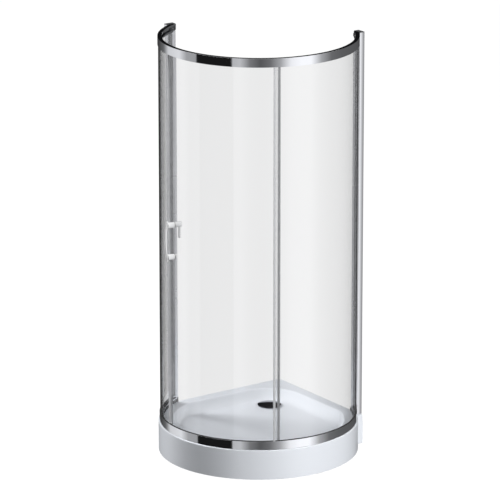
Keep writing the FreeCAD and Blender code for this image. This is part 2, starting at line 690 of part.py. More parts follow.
def jamb_screws():
    start = OVERRUN - JAMB_SCREW_HEAD_HEIGHT
    heads = jamb_screw_tools(JAMB_SCREW_HEAD_RADIUS, start, OVERRUN)
    shanks = jamb_screw_tools(JAMB_SCREW_RADIUS, start, OVERRUN + JAMB_SCREW_LENGTH)
    left = [head.fuse(shank) for head, shank in zip(heads, shanks)]
    return Part.makeCompound(left + [swapped(screw) for screw in left])


def profile_caps():
    left = block(
        Vector(-PROFILE_START - PROFILE_WIDTH, FRAME_FACE, PROFILE_TOP),
        Vector(-PROFILE_START, WALL_DISTANCE, OVERALL_HEIGHT),
    )
    return Part.makeCompound([left, swapped(left)])


# Rails: one bent extrusion used twice, with a groove for the fixed panes and a track for the door rollers

def rail(base, direction):
    outline = [
        (RAIL_INNER, 0),
        (RAIL_RADIUS, 0),
        (RAIL_RADIUS, RAIL_HEIGHT),
        (GROOVE_OUTER, RAIL_HEIGHT),
        (GROOVE_OUTER, GROOVE_DEPTH),
        (GROOVE_INNER, GROOVE_DEPTH),
        (GROOVE_INNER, RAIL_HEIGHT),
        (TRACK_OUTER, RAIL_HEIGHT),
        (TRACK_OUTER, TRACK_SHELF + RAIL_WALL),
        (RAIL_INNER, TRACK_SHELF + RAIL_WALL),
        (RAIL_INNER, TRACK_SHELF - TRACK_LIP_HEIGHT),
        (TRACK_INNER, TRACK_SHELF - TRACK_LIP_HEIGHT),
        (TRACK_INNER, TRACK_SHELF),
        (TRACK_OUTER, TRACK_SHELF),
        (TRACK_OUTER, RAIL_WALL),
        (TRACK_INNER, RAIL_WALL),
        (TRACK_INNER, TRACK_COVER_HEIGHT),
        (RAIL_INNER, TRACK_COVER_HEIGHT),
    ]
    start = CURVE_MIDDLE - CURVE_HALF_SWEEP
    end = CURVE_MIDDLE + CURVE_HALF_SWEEP
    bar = revolved([(radius, base + direction * offset) for radius, offset in outline], start, end)
    heights = sorted(base + direction * offset for offset in (RAIL_WALL, GROOVE_DEPTH - RAIL_WALL))
    chamber = sector(GROOVE_INNER, GROOVE_OUTER, start - ANGLE_OVERRUN, end + ANGLE_OVERRUN, *heights)
    left_hole = connector_screw_hole(base, direction, CONNECTOR_SCREW_RADIUS + THREAD_FIT)
    return trim_at_walls(bar.cut([chamber, left_hole, swapped(left_hole)]), FRAME_FACE)


def connector_height(base, direction):
    return base + direction * (TRACK_COVER_HEIGHT + TRACK_SHELF - TRACK_LIP_HEIGHT) / 2


def connector_angles():
    start = 180 - math.degrees(math.asin(FRAME_FACE / TRACK_OUTER))
    return start, start + arc_angle(CONNECTOR_LENGTH, TRACK_OUTER)


def connector_screw_hole(base, direction, radius):
    start, end = connector_angles()
    tool = radial(radius, RAIL_INNER, GROOVE_INNER + FIT, connector_height(base, direction))
    return turned(tool, (start + end) / 2)


def rail_end_connectors():
    start, end = connector_angles()
    connectors = []
    for base, direction in rail_bases():
        heights = sorted(base + direction * offset for offset in (RAIL_WALL + FIT, TRACK_SHELF - FIT))
        slab = sector(TRACK_INNER + FIT, TRACK_OUTER - FIT, 2 * start - end, end, *heights)
        slab = trim_at_walls(slab, FRAME_FACE)
        hole = connector_screw_hole(base, direction, CONNECTOR_SCREW_RADIUS + FIT)
        connector = slab.fuse(connector_tab(0, base, direction)).cut(hole)
        connectors += [connector, swapped(connector)]
    return Part.makeCompound(connectors)


def connector_screws():
    start, end = connector_angles()
    screws = []
    for base, direction in rail_bases():
        height = connector_height(base, direction)
        seat = math.sqrt((TRACK_INNER + FIT) ** 2 - CONNECTOR_SCREW_HEAD_RADIUS ** 2)
        head = radial(CONNECTOR_SCREW_HEAD_RADIUS, seat - CONNECTOR_SCREW_HEAD_HEIGHT, seat, height)
        shank = radial(CONNECTOR_SCREW_RADIUS, seat - CONNECTOR_SCREW_HEAD_HEIGHT, GROOVE_INNER, height)
        screw = turned(head.fuse(shank), (start + end) / 2)
        screws += [screw, swapped(screw)]
    return Part.makeCompound(screws)


# Fixed panes, their gaskets and the seal strips on their free edges

def left_pane():
    return sector(PANE_INNER, PANE_OUTER, LEFT_PANE_END, LEFT_PANE_EDGE, PANE_LOW, PANE_HIGH)


def right_pane():
    return sector(PANE_INNER, PANE_OUTER, RIGHT_PANE_EDGE, RIGHT_PANE_END, PANE_LOW, PANE_HIGH)


def glass_space(inner, outer, start, end, low, high):
    slack = arc_angle(FIT, inner)
    return sector(inner - FIT, outer + FIT, start - slack, end + slack, low - FIT, high + FIT)


def glazing_gaskets(start, end):
    gaskets = []
    glass_start = start - ANGLE_OVERRUN
    glass_end = end + ANGLE_OVERRUN
    glass = glass_space(PANE_INNER, PANE_OUTER, glass_start, glass_end, PANE_LOW, PANE_HIGH)
    for base, direction in rail_bases():
        heights = sorted(base + direction * offset for offset in (GROOVE_DEPTH, RAIL_HEIGHT))
        strip = sector(GROOVE_INNER + FIT, GROOVE_OUTER - FIT, start, end, *heights)
        gaskets.append(trim_at_walls(strip.cut(glass), FRAME_FACE))
    return Part.makeCompound(gaskets)


def left_jamb_gasket():
    start = LEFT_PANE_END - arc_angle(GASKET, PANE_MIDDLE)
    lining = sector(GROOVE_INNER + FIT, GROOVE_OUTER - FIT, start, LEFT_PANE_EDGE, PANE_LOW, PANE_HIGH)
    glass = glass_space(PANE_INNER, PANE_OUTER, LEFT_PANE_END, CURVE_MIDDLE, PANE_LOW, PANE_HIGH)
    room = block(
        Vector(-2 * TRAY_RADIUS, -2 * TRAY_RADIUS, 0),
        Vector(2 * TRAY_RADIUS, FRAME_FACE, OVERALL_HEIGHT),
    )
    return lining.cut([glass, room])


def edge_seal(inner, outer, edge, side, glass_low, glass_high, low, high):
    web = arc_angle(SEAL_WEB, inner) * side
    leg = -arc_angle(SEAL_LEG, inner) * side
    start, end = sorted((edge + web, edge + leg))
    strip = sector(inner - SEAL_WALL, outer + SEAL_WALL, start, end, low, high)
    glass_start, glass_end = sorted((edge, edge + 2 * leg))
    return strip.cut(glass_space(inner, outer, glass_start, glass_end, glass_low, glass_high))


def pane_seal(edge, side):
    low = TRAY_HEIGHT + RAIL_HEIGHT
    high = OVERALL_HEIGHT - RAIL_HEIGHT
    return edge_seal(PANE_INNER, PANE_OUTER, edge, side, PANE_LOW, PANE_HIGH, low, high)


# Sliding door: curved pane with seals, carried by rollers in both rails

def glass_hole_tools(radius):
    places = [(height, angle) for height in AXLE_HEIGHTS for angle in ROLLER_ANGLES]
    places += [(height, HANDLE_ANGLE) for height in (HANDLE_UPPER_HEIGHT, HANDLE_LOWER_HEIGHT)]
    start = DOOR_INNER - OVERRUN
    end = DOOR_OUTER + OVERRUN
    return [turned(radial(radius, start, end, height), angle) for height, angle in places]


def door_pane():
    pane = sector(DOOR_INNER, DOOR_OUTER, DOOR_LEADING_EDGE, DOOR_TRAILING_EDGE, DOOR_LOW, DOOR_HIGH)
    return pane.cut(glass_hole_tools(GLASS_HOLE_RADIUS))


def door_seal(edge, side):
    low = DOOR_LOW + DRIP_SEAL_HEIGHT
    strip = edge_seal(DOOR_INNER, DOOR_OUTER, edge, side, DOOR_LOW, DOOR_HIGH, low, DOOR_HIGH)
    fin_end = edge + arc_angle(SEAL_WEB, DOOR_INNER) * side
    fin_start = fin_end - arc_angle(SEAL_FIN_THICKNESS, DOOR_INNER) * side
    start, end = sorted((fin_start, fin_end))
    fin_low = TRAY_HEIGHT + RAIL_HEIGHT + SEAL_RAIL_GAP
    fin_high = OVERALL_HEIGHT - RAIL_HEIGHT - SEAL_RAIL_GAP
    fin_root = DOOR_OUTER + SEAL_WALL / 2
    fin_tip = PANE_INNER - SEAL_WALL - SEAL_FIN_GAP
    fin = sector(fin_root, fin_tip, start, end, fin_low, fin_high)
    return strip.fuse(fin)


def door_drip_seal():
    low = TRAY_HEIGHT + DRIP_SEAL_FLOOR_GAP
    high = DOOR_LOW + DRIP_SEAL_HEIGHT - FIT
    start = DOOR_LEADING_EDGE
    end = DOOR_TRAILING_EDGE
    strip = sector(DOOR_INNER - SEAL_WALL, DOOR_OUTER + SEAL_WALL, start, end, low, high)
    glass_start = start - ANGLE_OVERRUN
    glass_end = end + ANGLE_OVERRUN
    glass = glass_space(DOOR_INNER, DOOR_OUTER, glass_start, glass_end, DOOR_LOW, DOOR_HIGH)
    notch_radius = ROLLER_CAP_RADIUS + CAP_GLASS_GAP
    notches = [
        turned(radial(notch_radius, DOOR_INNER - OVERRUN, DOOR_OUTER + OVERRUN, AXLE_HEIGHTS[-1]), angle)
        for angle in ROLLER_ANGLES
    ]
    return strip.cut([glass] + notches)


def wheel_inner():
    return TRACK_MIDDLE - WHEEL_WIDTH / 2


def wheel_outer():
    return TRACK_MIDDLE + WHEEL_WIDTH / 2


def roller_wheel(angle, height):
    tyre = radial(WHEEL_RADIUS, wheel_inner(), wheel_outer(), height)
    bore = radial(BEARING_RADIUS + THREAD_FIT, wheel_inner() - OVERRUN, wheel_outer() + OVERRUN, height)
    return turned(tyre.cut(bore), angle)


def roller_bearing(angle, height):
    start = TRACK_MIDDLE - BEARING_WIDTH / 2
    end = TRACK_MIDDLE + BEARING_WIDTH / 2
    race = radial(BEARING_RADIUS, start, end, height)
    bore = radial(AXLE_RADIUS + THREAD_FIT, start - OVERRUN, end + OVERRUN, height)
    return turned(race.cut(bore), angle)


def at_rollers(piece):
    return Part.makeCompound([
        turned(piece(height), angle) for height in AXLE_HEIGHTS for angle in ROLLER_ANGLES
    ])


def washer_outer():
    return DOOR_OUTER + FIT + WASHER_THICKNESS


def cap_face():
    return math.sqrt(DOOR_INNER ** 2 - ROLLER_CAP_RADIUS ** 2) - FIT


def roller_axle(height):
    bearing_start = TRACK_MIDDLE - BEARING_WIDTH / 2 - RUNNING_GAP
    head_start = TRACK_MIDDLE + BEARING_WIDTH / 2 + FIT
    head = radial(AXLE_HEAD_RADIUS, head_start, wheel_outer(), height)
    journal = radial(AXLE_RADIUS, bearing_start, head_start, height)
    shoulder = radial(AXLE_SHOULDER_RADIUS, washer_outer(), bearing_start, height)
    bolt = radial(GLASS_BOLT_RADIUS, cap_face() - ROLLER_CAP_BORE + FIT, bearing_start, height)
    return shoulder.fuse([head, journal, bolt])


def roller_washer(height):
    start = DOOR_OUTER + FIT
    disc = radial(WASHER_RADIUS, start, washer_outer(), height)
    return disc.cut(radial(GLASS_BOLT_RADIUS + FIT, start - OVERRUN, washer_outer() + OVERRUN, height))


def glass_bush(height):
    start = math.sqrt(DOOR_INNER ** 2 - GLASS_HOLE_RADIUS ** 2) + FIT
    end = math.sqrt(DOOR_OUTER ** 2 - GLASS_HOLE_RADIUS ** 2) - FIT
    sleeve = radial(GLASS_HOLE_RADIUS - THREAD_FIT, start, end, height)
    return sleeve.cut(radial(GLASS_BOLT_RADIUS + THREAD_FIT, start - OVERRUN, end + OVERRUN, height))


def roller_cap(height):
    disc = radial(ROLLER_CAP_RADIUS, cap_face() - ROLLER_CAP_LENGTH, cap_face(), height)
    rim = [edge for edge in disc.Edges if abs(edge.CenterOfMass.x - cap_face() + ROLLER_CAP_LENGTH) < FIT]
    disc = disc.makeFillet(ROLLER_CAP_ROUND, rim)
    bore_start = cap_face() - ROLLER_CAP_BORE
    return disc.cut(radial(GLASS_BOLT_RADIUS + THREAD_FIT, bore_start, cap_face() + OVERRUN, height))


def door_stops():
    gap = arc_angle(WHEEL_RADIUS + RUNNING_GAP, TRACK_MIDDLE)
    length = arc_angle(STOP_LENGTH, TRACK_MIDDLE)
    closed_end = ROLLER_ANGLES[0] - gap
    open_start = ROLLER_ANGLES[1] + DOOR_TRAVEL + gap
    stops = []
    for base, direction in rail_bases():
        heights = sorted(base + direction * offset for offset in (TRACK_COVER_HEIGHT, TRACK_SHELF - FIT))
        for start in (closed_end - length, open_start):
            stops.append(sector(TRACK_INNER + FIT, TRACK_OUTER - FIT, start, start + length, *heights))
    return Part.makeCompound(stops)


# Door handle: outer bow grip on two posts, hook and cap inside, joined by studs through the glass

def post_face():
    return DOOR_OUTER + FIT


def inner_face():
    return math.sqrt(DOOR_INNER ** 2 - POST_RADIUS ** 2) - FIT


def grip_points():
    middle = (HANDLE_UPPER_HEIGHT + HANDLE_LOWER_HEIGHT) / 2
    half = (HANDLE_UPPER_HEIGHT - HANDLE_LOWER_HEIGHT) / 2 + GRIP_END_LENGTH
    crest = DOOR_OUTER + GRIP_PROJECTION - GRIP_RADIUS
    ends = crest - GRIP_SAG
    return Vector(ends, 0, middle - half), Vector(crest, 0, middle), Vector(ends, 0, middle + half)


def handle_grip():
    low, crest, high = grip_points()
    path = Part.Wire([arc(low, crest, high)])
    tangent = path.Edges[0].tangentAt(path.Edges[0].FirstParameter)
    profile = Part.Wire([Part.makeCircle(GRIP_RADIUS, low, tangent)])
    bow = path.makePipeShell([profile], True, True)
    ends = [Part.makeSphere(GRIP_RADIUS, point) for point in (low, high)]
    posts = []
    bores = []
    bore_end = post_face() + HANDLE_STUD_DEPTH
    for height in (HANDLE_UPPER_HEIGHT, HANDLE_LOWER_HEIGHT):
        posts.append(radial(POST_RADIUS, post_face(), low.x, height))
        posts.append(radial(GRIP_RADIUS, bore_end, low.x + GRIP_SAG / 2, height))
        bores.append(radial(GLASS_BOLT_RADIUS + THREAD_FIT, post_face() - OVERRUN, bore_end, height))
    return turned(bow.fuse(ends + posts).cut(bores), HANDLE_ANGLE)


def inner_bore(height):
    start = inner_face() - HANDLE_STUD_DEPTH
    return radial(GLASS_BOLT_RADIUS + THREAD_FIT, start, inner_face() + OVERRUN, height)


def handle_hook():
    tip = inner_face() - HOOK_LENGTH
    post = radial(POST_RADIUS, tip, inner_face(), HANDLE_UPPER_HEIGHT)
    rim = [edge for edge in post.Edges if abs(edge.CenterOfMass.x - tip) < FIT]
    post = post.makeFillet(POST_ROUND, rim)
    finger_place = Vector(tip + HOOK_FINGER_SETBACK + HOOK_FINGER_RADIUS, 0, 0)
    finger_low = HANDLE_UPPER_HEIGHT - HOOK_DROP + HOOK_FINGER_RADIUS
    finger = upright(HOOK_FINGER_RADIUS, finger_low, HANDLE_UPPER_HEIGHT, finger_place)
    finger_tip = Part.makeSphere(HOOK_FINGER_RADIUS, Vector(finger_place.x, 0, finger_low))
    return turned(post.fuse([finger, finger_tip]).cut(inner_bore(HANDLE_UPPER_HEIGHT)), HANDLE_ANGLE)


def handle_inner_cap():
    tip = inner_face() - INNER_CAP_LENGTH
    cap = radial(POST_RADIUS, tip, inner_face(), HANDLE_LOWER_HEIGHT)
    rim = [edge for edge in cap.Edges if abs(edge.CenterOfMass.x - tip) < FIT]
    cap = cap.makeFillet(POST_ROUND, rim)
    return turned(cap.cut(inner_bore(HANDLE_LOWER_HEIGHT)), HANDLE_ANGLE)


def at_handle(piece):
    return Part.makeCompound([
        turned(piece(height), HANDLE_ANGLE) for height in (HANDLE_UPPER_HEIGHT, HANDLE_LOWER_HEIGHT)
    ])


def handle_stud(height):
    start = inner_face() - HANDLE_STUD_DEPTH + FIT
    end = post_face() + HANDLE_STUD_DEPTH - FIT
    return radial(GLASS_BOLT_RADIUS, start, end, height)


LEFT_GASKET_RANGE = (LEFT_PANE_END, LEFT_PANE_EDGE)
RIGHT_GASKET_RANGE = (RIGHT_PANE_EDGE, RIGHT_PANE_END)

nodes = {
    "shower_tray": shower_tray(),
    "tray_baseboard": tray_baseboard(),
    "foot_sockets": foot_sockets(),
    "socket_screws": socket_screws(),
    "foot_studs": foot_studs(),
    "foot_lock_nuts": foot_lock_nuts(),
    "foot_pads": foot_pads(),
    "waste_body": waste_body(),
    "waste_gasket": waste_gasket(),
    "waste_ring": waste_ring(),
    "waste_screws": waste_screws(),
    "drain_cover": drain_cover(),
    "dip_tube": dip_tube(),
    "left_wall_profile": wall_profile(),
    "right_wall_profile": swapped(wall_profile()),
    "left_jamb": jamb(),
    "right_jamb": swapped(jamb()),
    "jamb_screws": jamb_screws(),
    "profile_caps": profile_caps(),
    "top_rail": rail(OVERALL_HEIGHT, -1),
    "bottom_rail": rail(TRAY_HEIGHT, 1),
    "rail_end_connectors": rail_end_connectors(),
    "connector_screws": connector_screws(),
    "left_pane": left_pane(),
    "right_pane": right_pane(),
    "left_glazing_gaskets": glazing_gaskets(*LEFT_GASKET_RANGE),
    "right_glazing_gaskets": glazing_gaskets(*RIGHT_GASKET_RANGE),
    "left_jamb_gasket": left_jamb_gasket(),
    "right_jamb_gasket": swapped(left_jamb_gasket()),
    "left_pane_seal": pane_seal(LEFT_PANE_EDGE, 1),
    "right_pane_seal": pane_seal(RIGHT_PANE_EDGE, -1),
    "door_stops": door_stops(),
    "door_pane": door_pane(),
    "door_leading_seal": door_seal(DOOR_LEADING_EDGE, -1),
    "door_trailing_seal": door_seal(DOOR_TRAILING_EDGE, 1),
    "door_drip_seal": door_drip_seal(),
    "roller_axles": at_rollers(roller_axle),
    "roller_washers": at_rollers(roller_washer),
    "roller_bushes": at_rollers(glass_bush),
    "roller_caps": at_rollers(roller_cap),
    "handle_grip": handle_grip(),
    "handle_hook": handle_hook(),
    "handle_inner_cap": handle_inner_cap(),
    "handle_studs": at_handle(handle_stud),
    "handle_bushes": at_handle(glass_bush),
}

for level, height in zip(("upper", "lower"), AXLE_HEIGHTS):
    for place, angle in zip(("leading", "trailing"), ROLLER_ANGLES):
        nodes[f"{level}_{place}_wheel"] = roller_wheel(angle, height)
        nodes[f"{level}_{place}_bearing"] = roller_bearing(angle, height)

os.makedirs("parts", exist_ok=True)
for name, shape in nodes.items():
    shape.exportStep(f"parts/{name}.step")
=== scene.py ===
import math

import bmesh
import bpy
from mathutils import Matrix, Vector


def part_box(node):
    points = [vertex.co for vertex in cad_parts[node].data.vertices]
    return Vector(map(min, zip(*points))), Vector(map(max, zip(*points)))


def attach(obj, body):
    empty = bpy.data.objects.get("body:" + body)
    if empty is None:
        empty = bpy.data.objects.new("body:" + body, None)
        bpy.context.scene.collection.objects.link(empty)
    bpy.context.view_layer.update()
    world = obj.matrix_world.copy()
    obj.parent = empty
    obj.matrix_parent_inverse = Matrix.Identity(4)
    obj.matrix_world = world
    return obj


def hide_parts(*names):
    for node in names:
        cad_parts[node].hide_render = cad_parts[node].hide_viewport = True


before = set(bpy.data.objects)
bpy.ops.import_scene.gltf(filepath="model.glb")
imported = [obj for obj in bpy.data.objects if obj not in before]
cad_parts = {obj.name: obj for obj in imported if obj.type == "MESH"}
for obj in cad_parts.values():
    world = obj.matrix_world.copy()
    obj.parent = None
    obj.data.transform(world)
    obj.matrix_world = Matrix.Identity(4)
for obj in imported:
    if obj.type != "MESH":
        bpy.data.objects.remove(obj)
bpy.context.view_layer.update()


# Shower tray. A shell of white acrylic, formed over a mould and about 5 mm thick: a flat rim, a basin whose
# sides run out into the floor, and an apron that follows the round front down to the bathroom floor.

def feed(tree, socket, source):
    """Links a socket to another node's outlet, or sets it to a plain value."""
    if isinstance(source, bpy.types.NodeSocket):
        tree.links.new(source, socket)
    else:
        socket.default_value = source


def wired(tree, kind, inputs=None, **settings):
    """A new node with its settings and its inputs, each of them an outlet or a plain value."""
    node = tree.nodes.new(kind)
    for name, setting in settings.items():
        setattr(node, name, setting)
    for socket, source in (inputs or {}).items():
        feed(tree, node.inputs[socket], source)
    return node


def effect_group(name, inputs, outputs):
    """An empty shader group with number sockets, and the outlets of its inlet node."""
    group = bpy.data.node_groups.new(name, "ShaderNodeTree")
    for direction, sockets in (("INPUT", inputs), ("OUTPUT", outputs)):
        for socket in sockets:
            group.interface.new_socket(socket, in_out=direction, socket_type="NodeSocketFloat")
    return group, group.nodes.new("NodeGroupInput").outputs


film_sockets = ("Scale", "Smooth", "Dull")
cloud_detail = 5.0
cloud_low = 0.3
cloud_high = 0.7


def handling_film_group():
    """Slow changes of gloss where hands, water and cloths have passed, with the same pattern as a mask."""
    group, inlet = effect_group("handling film", film_sockets, ("Roughness", "Mask"))
    place = wired(group, "ShaderNodeTexCoord")
    clouds = wired(group, "ShaderNodeTexNoise", {
        "Vector": place.outputs["Object"], "Scale": inlet["Scale"], "Detail": cloud_detail,
    })
    spread = wired(group, "ShaderNodeMapRange", {
        "Value": clouds.outputs["Fac"], "From Min": cloud_low, "From Max": cloud_high,
        "To Min": inlet["Smooth"], "To Max": inlet["Dull"],
    })
    wired(group, "NodeGroupOutput", {"Roughness": spread.outputs["Result"], "Mask": clouds.outputs["Fac"]})
    return group


relief_sockets = ("Plan Scale", "Height Scale")
grain_scale = 1.0
grain_detail = 3.0


def drawn_relief_group():
    """Fine relief, stretched by separate scales in plan and in height, as drawing or moulding leaves it."""
    group, inlet = effect_group("drawn relief", relief_sockets, ("Height",))
    place = wired(group, "ShaderNodeTexCoord")
    plan, upright = (inlet[socket] for socket in relief_sockets)
    scales = wired(group, "ShaderNodeCombineXYZ", {"X": plan, "Y": plan, "Z": upright})
    stretched = wired(
        group, "ShaderNodeVectorMath", {0: place.outputs["Object"], 1: scales.outputs["Vector"]},
        operation="MULTIPLY")
    grain = wired(group, "ShaderNodeTexNoise", {
        "Vector": stretched.outputs["Vector"], "Scale": grain_scale, "Detail": grain_detail,
    })
    wired(group, "NodeGroupOutput", {"Height": grain.outputs["Fac"]})
    return group


handling_film = handling_film_group()
drawn_relief = drawn_relief_group()
opaque = 1.0


def solid(tone):
    return (*tone, opaque)


def colour_sockets(sockets):
    return [socket for socket in sockets if socket.type == "RGBA"]


def mixed(tree, factor, *colours):
    """The outlet of a mix of two colours."""
    node = wired(tree, "ShaderNodeMix", {"Factor": factor}, data_type="RGBA")
    for socket, colour in zip(colour_sockets(node.inputs), colours):
        feed(tree, socket, colour)
    return colour_sockets(node.outputs)[0]


def new_material(name, plain):
    """A material, its node tree and its shader with the plain values set."""
    material = bpy.data.materials.new(name)
    material.use_nodes = True
    shader = material.node_tree.nodes["Principled BSDF"]
    for socket, value in plain.items():
        shader.inputs[socket].default_value = value
    return material, material.node_tree, shader


def add_film(tree, shader, film):
    """Gives a shader the roughness of a handling film, and returns the film's mask."""
    marks = wired(tree, "ShaderNodeGroup", node_tree=handling_film)
    for socket, value in zip(film_sockets, film):
        marks.inputs[socket].default_value = value
    feed(tree, shader.inputs["Roughness"], marks.outputs["Roughness"])
    return marks.outputs["Mask"]


def new_finish(name, plain, tones, film, relief):
    """A material of two tones that drift into each other, under a handling film and a fine relief."""
    finish, tree, shader = new_material(name, plain)
    mask = add_film(tree, shader, film)
    feed(tree, shader.inputs["Base Color"], mixed(tree, mask, *map(solid, tones)))
    *scales, depth = relief
    grain = wired(tree, "ShaderNodeGroup", node_tree=drawn_relief)
    for socket, scale in zip(relief_sockets, scales):
        grain.inputs[socket].default_value = scale
    bump = wired(tree, "ShaderNodeBump", {"Height": grain.outputs["Height"], "Distance": depth})
    feed(tree, shader.inputs["Normal"], bump.outputs["Normal"])
    return finish


white_acrylic = new_finish(
    "white acrylic", {"IOR": 1.49}, tones=((0.82, 0.85, 0.9), (0.8, 0.83, 0.88)), film=(5.0, 0.16, 0.26),
    relief=(60.0, 60.0, 0.00004))


def placed(name, data):
    """A new object in the scene, at the origin."""
    item = bpy.data.objects.new(name, data)
    bpy.context.scene.collection.objects.link(item)
    return item


def piece_from(shape, name):
    """A new object that holds the finished shape."""
    mesh = bpy.data.meshes.new(name)
    shape.to_mesh(mesh)
    shape.free()
    return placed(name, mesh)


def settled(piece):
    """The piece with its modifiers worked into its mesh."""
    mesh = bpy.data.meshes.new_from_object(piece.evaluated_get(bpy.context.evaluated_depsgraph_get()))
    piece.modifiers.clear()
    piece.data = mesh
    return piece


crease = math.radians(35)
flat_face_weight = 100


def fitted(piece, finish, slot, *nodes, body="enclosure"):
    """Gives a piece smooth faces, its finish and the body that it moves with; the slot is not used."""
    piece.data.shade_smooth()
    piece.data.set_sharp_from_angle(angle=crease)
    flats = piece.modifiers.new("flats", "WEIGHTED_NORMAL")
    flats.weight = flat_face_weight
    flats.keep_sharp = True
    settled(piece)
    piece.data.materials.clear()
    piece.data.materials.append(finish)
    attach(piece, body)
    if nodes:
        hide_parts(*nodes)


def arc_points(centre, radius, start, end, steps):
    turns = [start + (end - start) * i / steps for i in range(steps + 1)]
    return [(centre[0] + radius * math.cos(turn), centre[1] + radius * math.sin(turn)) for turn in turns]


def across_corner(turn):
    """The angle that mirrors another one in the line from the corner to the middle of the front."""
    return math.tau + math.pi / 2 - turn


def ring_of(shape, points, height):
    return [shape.verts.new((x, y, height)) for x, y in points]


def bridge(shape, first, second, closed=True):
    count = len(first)
    for i in range(count if closed else count - 1):
        j = (i + 1) % count
        shape.faces.new((first[i], first[j], second[j], second[i]))


up_axis = Vector((0, 0, 1))


def fill_between(shape, *rings):
    edges = []
    for ring in rings:
        for start, end in zip(ring, ring[1:] + ring[:1]):
            edges.append(shape.edges.get((start, end)) or shape.edges.new((start, end)))
    bmesh.ops.triangle_fill(shape, edges=edges, use_beauty=True, normal=up_axis)


tray_low, tray_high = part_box("shower_tray")
wall_line = tray_high.x
front_radius = -tray_low.x
rim_height = tray_high.z
apron_foot = tray_low.z
profile_margin = 0.009
rim_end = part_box("left_wall_profile")[0].x - profile_margin
shell_thickness = 0.005
tray_edge_round = 0.0042
tray_edge_steps = 4
lip_drop = 0.030
rim_support = 0.012
basin_wall_rim = 0.057
basin_front_rim = 0.065
basin_wall_run = 0.081
basin_front_run = 0.040
basin_bend = 0.184
basin_side = 0.070
basin_depth = 0.039
basin_shoulder_share = 0.08
basin_rings = 20
front_steps = 150
corner_steps = 16
drain_radius = 0.045
drain_steps = 64
drain_centre = sum(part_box("waste_ring"), Vector()) / 2


def tray_outline(inset):
    wall = wall_line - inset
    end = rim_end + inset
    radius = front_radius - inset
    start = math.atan2(math.sqrt(radius ** 2 - end ** 2), end)
    front = arc_points((0, 0), radius, start, across_corner(start), front_steps)
    return [(wall, wall), (end, wall)] + front + [(wall, end)]


def basin_outline(share):
    wall = wall_line - basin_wall_rim - share * basin_wall_run
    radius = front_radius - basin_front_rim - share * basin_front_run
    bend = basin_bend - share * basin_wall_run
    near = wall - basin_side
    far = -math.sqrt((radius - basin_side) ** 2 - near ** 2)
    turn = math.atan2(near, far)
    back = arc_points((wall - bend, wall - bend), bend, 0, math.pi / 2, corner_steps)
    left = arc_points((far, near), basin_side, math.pi / 2, turn, corner_steps)
    front = arc_points((0, 0), radius, turn, across_corner(turn), front_steps)
    right = arc_points((near, far), basin_side, across_corner(turn), math.tau, corner_steps)
    return back + left + front[1:-1] + right


def basin_drop(share):
    """The share of the basin's depth that is reached at a share of its slope."""
    if share > basin_shoulder_share:
        return 1 - (1 - share) ** 2
    return (share + basin_shoulder_share) ** 2 / (2 * basin_shoulder_share) - max(share, 0) ** 2


def tray_shape():
    shape = bmesh.new()
    outline = tray_outline(0)
    foot = ring_of(shape, outline[1:], apron_foot)
    lip = ring_of(shape, outline, rim_height - lip_drop)
    edge = ring_of(shape, outline, rim_height)
    rim = ring_of(shape, tray_outline(rim_support), rim_height)
    bridge(shape, foot, lip[1:], closed=False)
    bridge(shape, lip, edge)
    bridge(shape, edge, rim)
    basin = []
    for i in range(basin_rings + 1):
        share = (1 + basin_shoulder_share) * i / basin_rings - basin_shoulder_share
        basin.append(ring_of(shape, basin_outline(share), rim_height - basin_depth * basin_drop(share)))
    for outer, inner in zip(basin, basin[1:]):
        bridge(shape, outer, inner)
    drain = arc_points(drain_centre, drain_radius, 0, math.tau, drain_steps)[:-1]
    fill_between(shape, rim, basin[0])
    fill_between(shape, basin[-1], ring_of(shape, drain, rim_height - basin_depth))
    return shape


tray = piece_from(tray_shape(), "tray_shell")
rounding = tray.modifiers.new("rounding", "BEVEL")
rounding.width = tray_edge_round
rounding.segments = tray_edge_steps
rounding.limit_method = "ANGLE"
rounding.angle_limit = crease
wall_of_shell = tray.modifiers.new("wall", "SOLIDIFY")
wall_of_shell.thickness = shell_thickness
wall_of_shell.offset = -1
wall_of_shell.use_even_offset = True
fitted(settled(tray), white_acrylic, "white_acrylic", "shower_tray")


# Board under the basin. Resin coated chipboard, sawn to the outline of the basin floor and glued under it,
# so that the acrylic carries a person.

merge_distance = 0.000001
flat_angle = math.radians(0.5)
arris_steps = 3
arris_profile_share = 0.5


def merged_shape(mesh):
    """A working copy of a mesh with its doubled corners merged."""
    shape = bmesh.new()
    shape.from_mesh(mesh)
    bmesh.ops.remove_doubles(shape, verts=shape.verts, dist=merge_distance)
    return shape


def softened(node, name, width, least_edge=0):
    """A copy of a solid whose sharp edges are broken by a small round."""
    shape = merged_shape(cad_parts[node].data)
    bmesh.ops.dissolve_limit(shape, angle_limit=flat_angle, verts=shape.verts, edges=shape.edges)
    edges = [
        edge for edge in shape.edges
        if len(edge.link_faces) == 2 and edge.calc_face_angle() > crease and edge.calc_length() > least_edge
    ]
    bmesh.ops.bevel(
        shape, geom=edges, offset=width, offset_type="OFFSET", segments=arris_steps,
        profile=arris_profile_share, affect="EDGES", clamp_overlap=True)
    return piece_from(shape, name)


def fit_softened(node, name, width, finish, slot, body="enclosure", least_edge=0):
    fitted(softened(node, name, width, least_edge), finish, slot, node, body=body)


board_arris = 0.001
coated_board = new_finish(
    "coated board", {}, tones=((0.48, 0.36, 0.24), (0.62, 0.5, 0.36)), film=(220.0, 0.45, 0.7),
    relief=(900.0, 900.0, 0.0002))
fit_softened("tray_baseboard", "basin_board", board_arris, coated_board, "coated_board")


# Feet. Five black plastic sockets screwed under the board, each with a zinc plated stud that screws up or
# down, a lock nut under the socket and a rubber pad on the floor.

